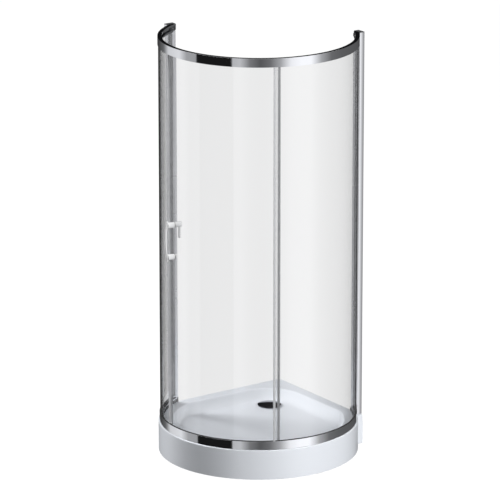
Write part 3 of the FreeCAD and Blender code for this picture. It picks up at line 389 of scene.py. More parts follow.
def turned(outline, steps, place=Matrix(), closed=False, shape=None):
    """A turned body: the outline runs as radius and height, with a number of flats where it isn't round."""
    if shape is None:
        shape = bmesh.new()
    rings = []
    for radius, height, *flats in outline:
        if radius == 0:
            rings.append([shape.verts.new(place @ Vector((0, 0, height)))] * steps)
            continue
        ring = []
        for i in range(steps):
            turn = math.tau * i / steps
            reach = radius
            if flats:
                half = math.pi / flats[0]
                reach = radius * math.cos(half) / math.cos(turn % (2 * half) - half)
            corner = Vector((reach * math.cos(turn), reach * math.sin(turn), height))
            ring.append(shape.verts.new(place @ corner))
        rings.append(ring)
    faces = []
    for first, second in zip(rings, rings[1:] + (rings[:1] if closed else [])):
        for i in range(steps):
            j = (i + 1) % steps
            corners = list(dict.fromkeys((first[i], first[j], second[j], second[i])))
            if len(corners) > 2:
                faces.append(shape.faces.new(corners))
    bmesh.ops.recalc_face_normals(shape, faces=faces)
    return shape


def geometry_tree(name, inputs, output):
    """An empty geometry tree with its sockets, and the outlets of its inlet node."""
    tree = bpy.data.node_groups.new(name, "GeometryNodeTree")
    for socket, kind in inputs.items():
        tree.interface.new_socket(socket, in_out="INPUT", socket_type="NodeSocket" + kind)
    tree.interface.new_socket(output, in_out="OUTPUT", socket_type="NodeSocketGeometry")
    return tree, tree.nodes.new("NodeGroupInput").outputs


def close_tree(tree, pieces, finish):
    """Makes the pieces of a tree real, coats them and puts them out."""
    real = wired(tree, "GeometryNodeRealizeInstances", {"Geometry": pieces}).outputs["Geometry"]
    coat = wired(tree, "GeometryNodeSetMaterial", {"Geometry": real, "Material": finish})
    wired(tree, "NodeGroupOutput", {0: coat.outputs["Geometry"]})
    return tree


def places_tree():
    """Sets a pattern piece at every place, with its own axis turned to the axis that the place holds."""
    tree, inlet = geometry_tree(
        "set at places", {"Places": "Geometry", "Pattern": "Object", "Finish": "Material"}, "Pieces")
    pattern = wired(tree, "GeometryNodeObjectInfo", {"Object": inlet["Pattern"]})
    axis = wired(tree, "GeometryNodeInputNamedAttribute", {"Name": "axis"}, data_type="FLOAT_VECTOR")
    turn = wired(tree, "FunctionNodeAlignRotationToVector", {"Vector": axis.outputs["Attribute"]}, axis="Z")
    setting = wired(tree, "GeometryNodeInstanceOnPoints", {
        "Points": inlet["Places"], "Instance": pattern.outputs["Geometry"],
        "Rotation": turn.outputs["Rotation"],
    })
    return close_tree(tree, setting.outputs["Instances"], inlet["Finish"])


set_at_places = places_tree()


def grown(name, mesh, tree, inputs):
    """The piece that a geometry tree makes from the points or lines of a mesh."""
    piece = placed(name, mesh)
    modifier = piece.modifiers.new(tree.name, "NODES")
    modifier.node_group = tree
    for item in tree.interface.items_tree:
        if item.name in inputs:
            modifier[item.identifier] = inputs[item.name]
    return settled(piece)


def set_at(places, axis_at, pattern_shape, name, finish, slot, node, body="enclosure"):
    """Fits one piece that holds a copy of the pattern at every place, turned to the axis there."""
    pattern = piece_from(pattern_shape, name + "_pattern")
    mesh = bpy.data.meshes.new(name)
    mesh.from_pydata(places, [], [])
    directions = mesh.attributes.new("axis", "FLOAT_VECTOR", "POINT")
    for entry, place in zip(directions.data, places):
        entry.vector = axis_at(place)
    piece = grown(name, mesh, set_at_places, {"Pattern": pattern, "Finish": finish})
    bpy.data.objects.remove(pattern)
    fitted(piece, finish, slot, node, body=body)


def solids_of(node):
    """The middle of every separate solid of a node."""
    shape = merged_shape(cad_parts[node].data)
    waiting = set(shape.verts)
    middles = []
    while waiting:
        front = [waiting.pop()]
        corners = []
        while front:
            corner = front.pop()
            corners.append(corner.co.copy())
            joined = {edge.other_vert(corner) for edge in corner.link_edges} & waiting
            waiting -= joined
            front += joined
        lows = Vector([min(values) for values in zip(*corners)])
        highs = Vector([max(values) for values in zip(*corners)])
        middles.append((lows + highs) / 2)
    shape.free()
    return sorted(middles, key=tuple)


def upwards(place):
    return up_axis


def downwards(place):
    return -up_axis


black_plastic = new_finish(
    "black plastic", {}, tones=((0.02, 0.02, 0.022), (0.03, 0.03, 0.032)), film=(60.0, 0.4, 0.6),
    relief=(1500.0, 1500.0, 0.0002))
zinc_steel = new_finish(
    "zinc steel", {"Metallic": 1.0}, tones=((0.62, 0.63, 0.66), (0.7, 0.69, 0.64)), film=(90.0, 0.22, 0.4),
    relief=(1200.0, 1200.0, 0.00004))
black_rubber = new_finish(
    "black rubber", {}, tones=((0.018, 0.018, 0.018), (0.03, 0.03, 0.03)), film=(120.0, 0.6, 0.85),
    relief=(1800.0, 1800.0, 0.0002))
feet = [Vector((middle.x, middle.y, 0)) for middle in solids_of("foot_pads")]
board_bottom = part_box("tray_baseboard")[0].z
round_steps = 48

pad_radius = 0.022
pad_height = 0.008
pad_floor = 0.003
pad_tread = 0.001
pad_shoulder = 0.003
stud_radius = 0.005
thread_gap = 0.00005
stud_bore = stud_radius + thread_gap
pad = turned([
    (0, 0), (pad_radius - pad_tread, 0), (pad_radius, pad_tread), (pad_radius, pad_height - pad_shoulder),
    (pad_radius - pad_tread, pad_height - pad_tread), (pad_radius - pad_shoulder, pad_height),
    (stud_bore, pad_height), (stud_bore, pad_floor), (0, pad_floor),
], round_steps)
set_at(feet, upwards, pad, "foot_rubbers", black_rubber, "black_rubber", "foot_pads")

collar_radius = 0.0085
collar_height = 0.006
collar_chamfer = 0.0006
stud_clearance = 0.007
thread_pitch = 0.0015
thread_depth = 0.0008
hexagon = 6
hex_steps = 24
collar_top = pad_height + collar_height
collar_face = collar_radius - collar_chamfer
stud_top = board_bottom - stud_clearance
thread_root = stud_radius - thread_depth
thread = []
for i in range(int((stud_top - collar_top) / thread_pitch)):
    height = collar_top + thread_pitch * i
    thread += [(thread_root, height), (stud_radius, height + thread_pitch / 2)]
stud = turned([
    (0, pad_floor), (stud_radius, pad_floor), (stud_radius, pad_height),
    (collar_face, pad_height, hexagon), (collar_radius, pad_height + collar_chamfer, hexagon),
    (collar_radius, collar_top - collar_chamfer, hexagon), (collar_face, collar_top, hexagon),
    *thread, (thread_root, stud_top), (0, stud_top),
], hex_steps)
set_at(feet, upwards, stud, "threaded_studs", zinc_steel, "zinc_steel", "foot_studs")

socket_plate = 0.004
socket_plate_radius = 0.028
socket_boss_radius = 0.009
socket_boss = 0.016
socket_fillet = 0.003
socket_edge = 0.0008
plate_bottom = board_bottom - socket_plate
boss_bottom = plate_bottom - socket_boss
foot_socket = turned([
    (stud_bore, board_bottom), (socket_plate_radius, board_bottom),
    (socket_plate_radius, plate_bottom + socket_edge), (socket_plate_radius - socket_edge, plate_bottom),
    (socket_boss_radius + socket_fillet, plate_bottom),
    (socket_boss_radius + socket_fillet / 4, plate_bottom - socket_fillet / 4),
    (socket_boss_radius, plate_bottom - socket_fillet), (socket_boss_radius, boss_bottom + socket_edge),
    (socket_boss_radius - socket_edge, boss_bottom), (stud_bore, boss_bottom),
], round_steps, closed=True)
set_at(feet, upwards, foot_socket, "threaded_sockets", black_plastic, "black_plastic", "foot_sockets")

nut_radius = 0.0098
nut_height = 0.008
nut_chamfer = 0.001
nut_bottom = boss_bottom - nut_height
nut = turned([
    (stud_bore, boss_bottom), (nut_radius - nut_chamfer, boss_bottom),
    (nut_radius, boss_bottom - nut_chamfer, hexagon), (nut_radius, nut_bottom + nut_chamfer, hexagon),
    (nut_radius - nut_chamfer, nut_bottom), (stud_bore, nut_bottom),
], hex_steps, closed=True)
set_at(feet, upwards, nut, "stud_nuts", zinc_steel, "zinc_steel", "foot_lock_nuts")

recess_share = 0.8
recess_floor_share = 0.35
crown_share = 0.62
shoulder_share = 0.9
shoulder_height_share = 0.85


def set_screws(name, node, axis_at, head_radius, head_height, shank_radius, shank_length):
    """Zinc plated screws, each with a rounded head on its seat, a hexagonal recess and a shank."""
    recess = shank_radius * recess_share
    recess_floor = head_height * recess_floor_share
    screw = turned([
        (0, recess_floor), (recess, recess_floor, hexagon), (recess, head_height, hexagon),
        (head_radius * crown_share, head_height),
        (head_radius * shoulder_share, head_height * shoulder_height_share), (head_radius, head_height / 2),
        (head_radius, 0), (shank_radius, 0), (shank_radius, shank_radius - shank_length),
        (0, -shank_length),
    ], hex_steps)
    seat_offset = (shank_length - head_height) / 2
    seats = [middle + axis_at(middle) * seat_offset for middle in solids_of(node)]
    set_at(seats, axis_at, screw, name, zinc_steel, "zinc_steel", node)


board_screw_head = 0.004
board_screw_head_height = 0.0025
board_screw_shank = 0.002
board_screw_length = 0.010
set_screws("board_screws", "socket_screws", downwards, board_screw_head, board_screw_head_height,
           board_screw_shank, board_screw_length)


# Waste. A white plastic cup under the drain hole, sealed by a rubber ring and clamped from above by a chrome
# ring with three screws. A chrome dome, with a painted dark reflection, covers it and lifts out with the
# dip tube of the water seal.

white_plastic = new_finish(
    "white plastic", {}, tones=((0.78, 0.78, 0.76), (0.84, 0.84, 0.82)), film=(30.0, 0.35, 0.5),
    relief=(900.0, 900.0, 0.0001))
polished_chrome = new_finish(
    "polished chrome", {"Metallic": 1.0}, tones=((0.9, 0.915, 0.94), (0.88, 0.895, 0.92)),
    film=(14.0, 0.03, 0.07), relief=(80.0, 80.0, 0.000004))
waste_edge = 0.0006
fit_softened("waste_body", "waste_cup", waste_edge, white_plastic, "white_plastic")
fit_softened("waste_gasket", "waste_seal_ring", waste_edge / 2, black_rubber, "black_rubber")
fit_softened("waste_ring", "clamping_ring", waste_edge / 2, polished_chrome, "polished_chrome")
fit_softened("dip_tube", "water_seal_tube", waste_edge, white_plastic, "white_plastic", "waste_cover")

waste_screw_head = 0.0032
waste_screw_head_height = 0.0012
waste_screw_shank = 0.00175
waste_screw_length = 0.0228
set_screws("clamping_screws", "waste_screws", upwards, waste_screw_head, waste_screw_head_height,
           waste_screw_shank, waste_screw_length)

# Polished chrome darkened all over: a painted dark reflection of the surroundings that the dome mirrors.
chrome_with_painted_dark_reflection = new_finish(
    "chrome with painted dark reflection", {"Metallic": 1.0}, tones=((0.5, 0.5, 0.53), (0.46, 0.46, 0.49)),
    film=(14.0, 0.03, 0.07), relief=(80.0, 80.0, 0.000004))
cover_low, cover_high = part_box("drain_cover")
cover_radius = (cover_high.x - cover_low.x) / 2
cover_crown = 0.0035
cover_edge = 0.0007
cover_sheet = 0.0006
cover_shoulder = 0.008
cover_stem = 0.004
cover_stem_length = 0.007
cover_steps = 96
cover_rings = 14
cover_under = cover_high.z - cover_crown
cover_ceiling = cover_under + cover_sheet / 2
cover_rise = cover_crown - cover_edge
stem_seat = cover_low.z + cover_stem_length
lip_radius = cover_radius - cover_edge / 2
dome_radii = [lip_radius * i / cover_rings for i in range(cover_rings + 1)]
dome = [(radius, cover_high.z - cover_rise * (radius / cover_radius) ** 2) for radius in dome_radii]
lip_turn = [
    (lip_radius + cover_edge / 2 * math.cos(turn), cover_under + cover_edge / 2 * (1 + math.sin(turn)))
    for turn in (math.pi / 4, 0, -math.pi / 4, -math.pi / 2)
]
cover = turned(dome + lip_turn + [
    (lip_radius - cover_edge, cover_under), (lip_radius - cover_edge, cover_ceiling),
    (cover_shoulder, cover_ceiling), (cover_shoulder, stem_seat), (cover_stem, stem_seat),
    (cover_stem, cover_low.z), (0, cover_low.z),
], cover_steps, Matrix.Translation((drain_centre.x, drain_centre.y, 0)))
fitted(piece_from(cover, "domed_cover"), chrome_with_painted_dark_reflection, "polished_chrome", "drain_cover", body="waste_cover")


# Wall profiles and jambs. Two channels of polished aluminium, screwed to the walls, and in each a satin jamb
# that slides in and out to take up a wall that isn't plumb, fixed by screws from inside and closed by a
# plastic cap on top.

bright_aluminium = new_finish(
    "bright aluminium", {"Metallic": 1.0}, tones=((0.9, 0.91, 0.93), (0.87, 0.88, 0.9)),
    film=(9.0, 0.05, 0.1), relief=(400.0, 1.0, 0.000003))
satin_aluminium = new_finish(
    "satin aluminium", {"Metallic": 1.0}, tones=((0.86, 0.87, 0.89), (0.84, 0.85, 0.87)),
    film=(9.0, 0.26, 0.32), relief=(400.0, 1.0, 0.000003))
grey_plastic = new_finish(
    "grey plastic", {}, tones=((0.05, 0.051, 0.054), (0.065, 0.066, 0.069)), film=(40.0, 0.3, 0.45),
    relief=(1200.0, 1200.0, 0.0001))
profile_round = 0.0008
profile_least_edge = 0.015
cap_round = 0.0009
channel_crown = 0.0006
channel_flange = 0.002
channel_cuts = 8


def reshaped(piece, shape):
    """The piece with its mesh replaced by the shape."""
    shape.to_mesh(piece.data)
    shape.free()
    return piece


def crowned(piece, face_axis):
    """The piece with the flat outer face of its flange drawn out into a shallow crown."""
    across_axis = 1 - face_axis
    shape = bmesh.new()
    shape.from_mesh(piece.data)
    face = min(corner.co[face_axis] for corner in shape.verts)
    near = min(corner.co[across_axis] for corner in shape.verts)
    far = max(corner.co[across_axis] for corner in shape.verts)
    across = Vector((0, 0, 0))
    across[across_axis] = 1
    for i in range(1, channel_cuts):
        place = across * (near + (far - near) * i / channel_cuts)
        parts = shape.verts[:] + shape.edges[:] + shape.faces[:]
        bmesh.ops.bisect_plane(shape, geom=parts, plane_co=place, plane_no=across)
    for corner in shape.verts:
        sunk = (corner.co[face_axis] - face) / channel_flange
        if sunk < 1:
            share = (2 * corner.co[across_axis] - near - far) / (far - near)
            corner.co[face_axis] += channel_crown * share ** 2 * (1 - sunk)
    return reshaped(piece, shape)


for face_axis, side in enumerate(("left", "right")):
    profile = f"{side}_wall_profile"
    channel = softened(profile, f"{side}_wall_channel", profile_round, profile_least_edge)
    fitted(crowned(channel, face_axis), bright_aluminium, "bright_aluminium", profile)
    fit_softened(f"{side}_jamb", f"{side}_jamb_bar", profile_round / 2, satin_aluminium, "bright_aluminium",
                 least_edge=profile_least_edge)
fit_softened("profile_caps", "channel_caps", cap_round, grey_plastic, "grey_plastic")

x_axis = Vector((1, 0, 0))
y_axis = Vector((0, 1, 0))
jamb_screw_head = 0.0035
jamb_screw_head_height = 0.0018
jamb_screw_shank = 0.00175
jamb_screw_length = 0.008


def into_enclosure(place):
    """The direction from a jamb into the enclosure, along the wall."""
    return x_axis if place.y > place.x else y_axis


set_screws("channel_screws", "jamb_screws", into_enclosure, jamb_screw_head, jamb_screw_head_height,
           jamb_screw_shank, jamb_screw_length)


# Rails. One aluminium extrusion, bent to the curve, polished and used twice: a groove outside takes the
# fixed panes, a track inside takes the rollers. Plastic plugs join its ends to the jambs, each held by a
# screw.

def bent_bar_tree():
    """Sweeps a section, drawn as radial offset and depth, along an arc about the upright axis."""
    tree, inlet = geometry_tree("bent bar", {
        "Section": "Geometry", "Radius": "Float", "Start": "Float", "Sweep": "Float", "Steps": "Int",
        "Finish": "Material",
    }, "Bar")
    line = wired(tree, "GeometryNodeCurveArc", {
        "Radius": inlet["Radius"], "Start Angle": inlet["Start"], "Sweep Angle": inlet["Sweep"],
        "Resolution": inlet["Steps"],
    }, mode="RADIUS")
    upright = wired(tree, "GeometryNodeSetCurveNormal", {"Curve": line.outputs["Curve"]}, mode="Z_UP")
    section = wired(tree, "GeometryNodeMeshToCurve", {"Mesh": inlet["Section"]})
    sweep = wired(tree, "GeometryNodeCurveToMesh", {
        "Curve": upright.outputs["Curve"], "Profile Curve": section.outputs["Curve"], "Fill Caps": True,
    })
    return close_tree(tree, sweep.outputs["Mesh"], inlet["Finish"])


bent_bar = bent_bar_tree()
bend_step = math.radians(1.5)


def bent_piece(name, outline, start, end, finish):
    """A bar along the curve, whose section is a closed outline of radius and height."""
    radius = outline[0][0]
    count = len(outline)
    mesh = bpy.data.meshes.new(name)
    points = [(reach - radius, -height, 0) for reach, height in outline]
    mesh.from_pydata(points, [(i, (i + 1) % count) for i in range(count)], [])
    piece = grown(name, mesh, bent_bar, {
        "Radius": radius, "Start": start, "Sweep": end - start, "Steps": int((end - start) / bend_step) + 2,
        "Finish": finish,
    })
    shape = merged_shape(piece.data)
    bmesh.ops.recalc_face_normals(shape, faces=shape.faces)
    return reshaped(piece, shape)


ease_limit_share = 0.45
ease_steps = 3


def eased(outline, radius):
    """The closed outline with every corner turned into a small round."""
    points = [Vector(point) for point in outline]
    result = []
    for before, corner, after in zip(points[-1:] + points[:-1], points, points[1:] + points[:1]):
        limits = [(other - corner).length * ease_limit_share for other in (before, after)]
        reach = min(radius, *limits)
        start = corner + (before - corner).normalized() * reach
        end = corner + (after - corner).normalized() * reach
        for i in range(ease_steps + 1):
            share = i / ease_steps
            rest = 1 - share
            result.append(tuple(start * rest ** 2 + corner * 2 * share * rest + end * share ** 2))
    return result


def trimmed_at_walls(piece, face):
    """The piece cut off where it meets the jambs, with the cuts closed."""
    shape = merged_shape(piece.data)
    for normal in (x_axis, y_axis):
        parts = shape.verts[:] + shape.edges[:] + shape.faces[:]
        cut = bmesh.ops.bisect_plane(
            shape, geom=parts, plane_co=normal * face, plane_no=normal, clear_outer=True)
        edges = [part for part in cut["geom_cut"] if isinstance(part, bmesh.types.BMEdge)]
        bmesh.ops.triangle_fill(shape, edges=edges, use_beauty=True)
    bmesh.ops.recalc_face_normals(shape, faces=shape.faces)
    return reshaped(piece, shape)


rail_ease = 0.0007
frame_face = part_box("top_rail")[1].x
rail_outer = -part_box("bottom_rail")[0].x
rail_wall = 0.002
gasket_wall = 0.0011
glass_thickness = 0.005
track_width = 0.0063
track_lip = 0.0015
groove_outer = rail_outer - rail_wall
groove_inner = groove_outer - glass_thickness - 2 * gasket_wall
track_outer = groove_inner - rail_wall
track_inner = track_outer - track_width
rail_inner = track_inner - track_lip
groove_floor = 0.021
track_shelf = 0.030
track_lip_height = 0.004
track_cover = 0.010
shelf_back = track_shelf + rail_wall
lip_end = track_shelf - track_lip_height
rail_overrun = math.radians(3)
rail_start = math.pi - math.asin(frame_face / rail_outer) - rail_overrun
rail_end = across_corner(rail_start)
rail_levels = (("bottom", 1), ("top", -1))
for level, direction in rail_levels:
    low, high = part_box(f"{level}_rail")
    rail_height = high.z - low.z
    base = low.z if direction > 0 else high.z
    section = [
        (rail_inner, 0), (rail_outer, 0), (rail_outer, rail_height), (groove_outer, rail_height),
        (groove_outer, groove_floor), (groove_inner, groove_floor), (groove_inner, rail_height),
        (track_outer, rail_height), (track_outer, shelf_back), (rail_inner, shelf_back),
        (rail_inner, lip_end), (track_inner, lip_end), (track_inner, track_shelf),
        (track_outer, track_shelf), (track_outer, rail_wall), (track_inner, rail_wall),
        (track_inner, track_cover), (rail_inner, track_cover),
    ]
    outline = eased([(radius, base + direction * offset) for radius, offset in section], rail_ease)
    rail = bent_piece(f"{level}_bent_rail", outline, rail_start, rail_end, polished_chrome)
    fitted(trimmed_at_walls(rail, frame_face), polished_chrome, "bright_aluminium", f"{level}_rail")

plug_round = 0.0005
plug_least_edge = 0.002
fit_softened("rail_end_connectors", "rail_plugs", plug_round, grey_plastic, "grey_plastic",
             least_edge=plug_least_edge)


def radial_axis(place):
    return Vector((place.x, place.y, 0)).normalized()


def inward_axis(place):
    return -radial_axis(place)


plug_screw_head = 0.0032
plug_screw_head_height = 0.0015
plug_screw_shank = 0.00175
plug_screw_length = 0.0083
set_screws("plug_screws", "connector_screws", inward_axis, plug_screw_head, plug_screw_head_height,
           plug_screw_shank, plug_screw_length)


# Fixed panes. Two sheets of clear toughened glass, bent to the curve and 5 mm thick, held in the grooves by
# black rubber strips, with a clear vinyl strip clipped on each free edge. Rubber infill closes the grooves
# in front of the door, and a rubber bead is pressed in along the mouth of the bottom groove.

def smooth_mask(tree, source, low, high):
    """The outlet of a mask that rises smoothly between two values."""
    ramp = wired(
        tree, "ShaderNodeMapRange", {"Value": source, "From Min": low, "From Max": high},
        interpolation_type="SMOOTHSTEP")
    return ramp.outputs["Result"]


def surface_mix(tree, factor, first, second):
    """Ends a material in a mix of two shaders."""
    choice = wired(tree, "ShaderNodeMixShader", {"Fac": factor, 1: first, 2: second})
    feed(tree, tree.nodes["Material Output"].inputs["Surface"], choice.outputs["Shader"])


glass_tint = (0.885, 0.887, 0.89)
# Tone of the painted shade along the outline, where the glass is seen edge on.
glass_edge_painted_shade = (0.14, 0.142, 0.145)
glass_shadow_tint = (0.84, 0.84, 0.84)
glass_shade_slant_low = 0.77
glass_shade_slant_high = 0.93


def glass_finish():
    """Clear glass with a painted shade where it is seen edge on, and that lets a lamp's light through its
    shadow.
    """
    finish, tree, shader = new_material("clear glass", {"Transmission Weight": 1.0, "IOR": 1.5})
    slant = wired(tree, "ShaderNodeLayerWeight")
    # Painted shade: the base colour turns dark towards the glass's outline, by how edge on it is seen.
    edge = smooth_mask(tree, slant.outputs["Facing"], glass_shade_slant_low, glass_shade_slant_high)
    feed(tree, shader.inputs["Base Color"], mixed(tree, edge, solid(glass_tint), solid(glass_edge_painted_shade)))
    add_film(tree, shader, film=(4.0, 0.0, 0.001))
    clear = wired(tree, "ShaderNodeBsdfTransparent", {"Color": solid(glass_shadow_tint)})
    light = wired(tree, "ShaderNodeLightPath")
    surface_mix(tree, light.outputs["Is Shadow Ray"], shader.outputs["BSDF"], clear.outputs["BSDF"])
    return finish


def sector_of(node):
    """Inner and outer radius, start and end angle, and foot and head of a curved piece."""
    corners = [vertex.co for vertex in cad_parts[node].data.vertices]
    radii = [math.hypot(corner.x, corner.y) for corner in corners]
    turns = [math.atan2(corner.y, corner.x) % math.tau for corner in corners]
    heights = [corner.z for corner in corners]
    return min(radii), max(radii), min(turns), max(turns), min(heights), max(heights)


def bent_pane(node, name):
    inner, outer, start, end, foot, head = sector_of(node)
    outline = eased([(inner, foot), (outer, foot), (outer, head), (inner, head)], glass_arris)
    return bent_piece(name, outline, start, end, clear_glass)


glass_arris = 0.0008
clear_glass = glass_finish()
clear_vinyl = new_finish(
    "clear vinyl", {"Alpha": 0.45, "IOR": 1.45}, tones=((0.7, 0.71, 0.73), (0.74, 0.75, 0.77)),
    film=(30.0, 0.22, 0.32), relief=(300.0, 3.0, 0.000002))
for side in ("left", "right"):
    fitted(bent_pane(f"{side}_pane", f"{side}_curved_pane"), clear_glass, "clear_glass", f"{side}_pane")

seal_round = 0.0003
seal_least_edge = 0.01
for side in ("left", "right"):
    for node, name, finish, slot in (
        (f"{side}_pane_seal", f"{side}_pane_seal_strip", clear_vinyl, "clear_seal"),
        (f"{side}_jamb_gasket", f"{side}_jamb_gasket_strip", clear_vinyl, "clear_seal"),
        (f"{side}_glazing_gaskets", f"{side}_glazing_strips", black_rubber, "black_rubber"),
    ):
        fit_softened(node, name, seal_round, finish, slot, least_edge=seal_least_edge)

infill_gap = 0.0002
infill_depth = 0.006
left_pane_start = sector_of("left_pane")[2]
left_seal_start, infill_start = sector_of("left_pane_seal")[2:4]
infill_end, right_seal_end = sector_of("right_pane_seal")[2:4]
right_pane_end = sector_of("right_pane")[3]
for level, direction in rail_levels:
    low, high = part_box(f"{level}_rail")
    mouth = high.z if direction > 0 else low.z
    strip_face = mouth - direction * infill_gap
    strip_back = mouth - direction * infill_depth
    outline = eased([
        (groove_inner + infill_gap, strip_back), (groove_outer - infill_gap, strip_back),
        (groove_outer - infill_gap, strip_face), (groove_inner + infill_gap, strip_face),
    ], seal_round)
    infill = bent_piece(f"{level}_groove_infill", outline, infill_start, infill_end, black_rubber)
    fitted(infill, black_rubber, "black_rubber")

bead_lip = 0.0012
bead_edge = 0.0008
bead_height = 0.0045
pane_face = sector_of("left_pane")[1] + infill_gap
bead_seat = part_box("bottom_rail")[1].z
bead_outline = eased([
    (pane_face, bead_seat - infill_gap), (groove_outer - infill_gap, bead_seat - infill_gap),
    (groove_outer - infill_gap, bead_seat + infill_gap), (groove_outer + bead_lip, bead_seat + infill_gap),
    (groove_outer + bead_lip, bead_seat + infill_gap + bead_edge), (pane_face, bead_seat + bead_height),
], seal_round)
for side, start, end in (
    ("left", left_pane_start, left_seal_start),
    ("middle", infill_start, infill_end),
    ("right", right_seal_end, right_pane_end),
):
    bead = bent_piece(f"{side}_glazing_bead", bead_outline, start, end, black_rubber)
    fitted(trimmed_at_walls(bead, frame_face), black_rubber, "black_rubber")

stop_round = 0.0008
stop_least_edge = 0.003
fit_softened("door_stops", "track_stops", stop_round, black_rubber, "black_rubber",
             least_edge=stop_least_edge)


# Door. A third sheet of bent glass with holes for the rollers and the handle, clear vinyl strips with a fin
# on both upright edges and a drip strip along its foot.

def combined(piece, operation, *others):
    """The piece with others cut out of it or grown together with it."""
    for other in others:
        step = piece.modifiers.new(other.name, "BOOLEAN")
        step.operation = operation
        step.solver = "EXACT"
        step.object = other
        settled(piece)
        bpy.data.objects.remove(other)
    return piece


def radial_place(middle):
    """The place at a point, with the local upright turned outwards from the axis of the curve."""
    return Matrix.Translation(middle) @ radial_axis(middle).to_track_quat("Z", "X").to_matrix().to_4x4()


glass_hole = 0.006
hole_reach = 0.02
hole_outline = [(0, -hole_reach), (glass_hole, -hole_reach), (glass_hole, hole_reach), (0, hole_reach)]
door_holes = bmesh.new()
for middle in solids_of("roller_bushes") + solids_of("handle_bushes"):
    turned(hole_outline, round_steps, radial_place(middle), shape=door_holes)
door = combined(bent_pane("door_pane", "curved_door"), "DIFFERENCE", piece_from(door_holes, "door_holes"))
fitted(door, clear_glass, "clear_glass", "door_pane", body="door")
for node in ("door_leading_seal", "door_trailing_seal", "door_drip_seal"):
    fit_softened(node, f"{node}_strip", seal_round, clear_vinyl, "clear_seal", "door", seal_least_edge)


# Rollers. Four nylon wheels pressed on small bearings run in the tracks. Each turns on an axle that is
# bolted through the glass, with a washer outside, a bush in the hole and a chromed cap inside.

white_nylon = new_finish(
    "white nylon", {}, tones=((0.76, 0.75, 0.7), (0.82, 0.81, 0.77)), film=(80.0, 0.35, 0.5),
    relief=(1500.0, 1500.0, 0.00006))
wheel_radius = 0.0097
wheel_half = 0.00275
bearing_radius = 0.005
bearing_half = 0.002
axle_radius = 0.0025
tread_crown = 0.0006
wheel_ease = 0.0005
race_step = 0.0009
shield_depth = 0.0003
shield_face = shield_depth - bearing_half


def both_ends(half, middle=()):
    """An outline that goes on from its first half with the same points mirrored in height."""
    return [*half, *middle, *((radius, -height) for radius, height in reversed(half))]


wheel_outline = both_ends([
    (bearing_radius + thread_gap, -wheel_half), (wheel_radius - tread_crown, -wheel_half),
    (wheel_radius - wheel_ease / 2, wheel_ease - wheel_half),
], [(wheel_radius, 0)])
race_outline = both_ends([
    (axle_radius + thread_gap, -bearing_half), (axle_radius + race_step, -bearing_half),
    (axle_radius + race_step, shield_face), (bearing_radius - race_step, shield_face),
    (bearing_radius - race_step, -bearing_half), (bearing_radius, -bearing_half),
])
for roller in ("upper_leading", "upper_trailing", "lower_leading", "lower_trailing"):
    place = radial_place(solids_of(f"{roller}_wheel")[0])
    for outline, name, finish, slot, node in (
        (wheel_outline, f"{roller}_nylon_wheel", white_nylon, "white_nylon", f"{roller}_wheel"),
        (race_outline, f"{roller}_race", zinc_steel, "zinc_steel", f"{roller}_bearing"),
    ):
        piece = piece_from(turned(outline, round_steps, place, closed=True), name)
        fitted(piece, finish, slot, node, body=f"{roller}_roller")

roller_edge = 0.0003
for node, name, finish, slot in (
    ("roller_axles", "roller_bolts", zinc_steel, "zinc_steel"),
    ("roller_washers", "glass_washers", zinc_steel, "zinc_steel"),
    ("roller_bushes", "roller_sleeves", white_plastic, "white_plastic"),
    ("handle_bushes", "handle_sleeves", white_plastic, "white_plastic"),
    ("handle_studs", "handle_bolts", zinc_steel, "zinc_steel"),
):
    fit_softened(node, name, roller_edge, finish, slot, "door")

cap_radius = 0.0135
cap_length = 0.009
cap_edge = 0.003
cap_bore = 0.00305
cap_bore_depth = 0.006
cap_half = cap_length / 2
cap_bore_floor = cap_half - cap_bore_depth
edge_steps = 5
edge_turns = [math.pi / 2 * i / edge_steps for i in range(edge_steps + 1)]


def rounded_edge(radius, edge, base):
    """The outline of a rounded edge that starts on the flat end of a turned body."""
    return [
        (radius - edge + edge * math.sin(turn), base + edge - edge * math.cos(turn)) for turn in edge_turns
    ]


roller_cap = turned([(0, -cap_half)] + rounded_edge(cap_radius, cap_edge, -cap_half) + [
    (cap_radius, cap_half), (cap_bore, cap_half), (cap_bore, cap_bore_floor), (0, cap_bore_floor),
], round_steps)
set_at(solids_of("roller_caps"), radial_axis, roller_cap, "roller_covers", polished_chrome,
       "polished_chrome", "roller_caps", "door")


# Handle. A chromed bow outside, cast in one with its two posts, a hook on the upper post inside and a round
# cap on the lower one, drawn together through the glass by threaded studs.

rod_end_shares = (0.0, 0.25, 0.5, 0.75, 0.94)
rod_steps = 32
grip_radius = 0.00475


def rod_end(tip, before):
    """The middles and widths of the rings that round off a rod's end."""
    outwards = (tip - before).normalized()
    turns = [math.pi / 2 * share for share in rod_end_shares]
    return [(tip + outwards * grip_radius * math.sin(turn), math.cos(turn)) for turn in turns]


def swept_rod(line):
    """A round rod with round ends along a line in the local X Z plane."""
    shape = bmesh.new()
    points = [Vector(point) for point in line]
    stations = rod_end(points[0], points[1])[::-1]
    stations += [(point, 1.0) for point in points[1:-1]]
    stations += rod_end(points[-1], points[-2])
    middles = [middle for middle, width in stations]
    turns = [math.tau * j / rod_steps for j in range(rod_steps)]
    rings = []
    for i, (middle, width) in enumerate(stations):
        along = (middles[min(i + 1, len(middles) - 1)] - middles[max(i - 1, 0)]).normalized()
        across = along.cross(y_axis)
        reach = grip_radius * width
        rings.append([
            shape.verts.new(middle + reach * (y_axis * math.cos(turn) + across * math.sin(turn)))
            for turn in turns
        ])
    for one, other in zip(rings, rings[1:]):
        bridge(shape, one, other)
    shape.faces.new(rings[0][::-1])
    shape.faces.new(rings[-1])
    return shape


post_radius = 0.0135
post_edge = 0.0025


def post_shape(start, end, height, edge):
    """A turned post along the local X axis, with the edge at its start rounded."""
    length = end - start
    place = Matrix.Translation((start, 0, height)) @ Matrix.Rotation(math.pi / 2, 4, "Y")
    outline = [(0, 0)] + rounded_edge(post_radius, edge, 0) + [(post_radius, length), (0, length)]
    return turned(outline, round_steps, place)
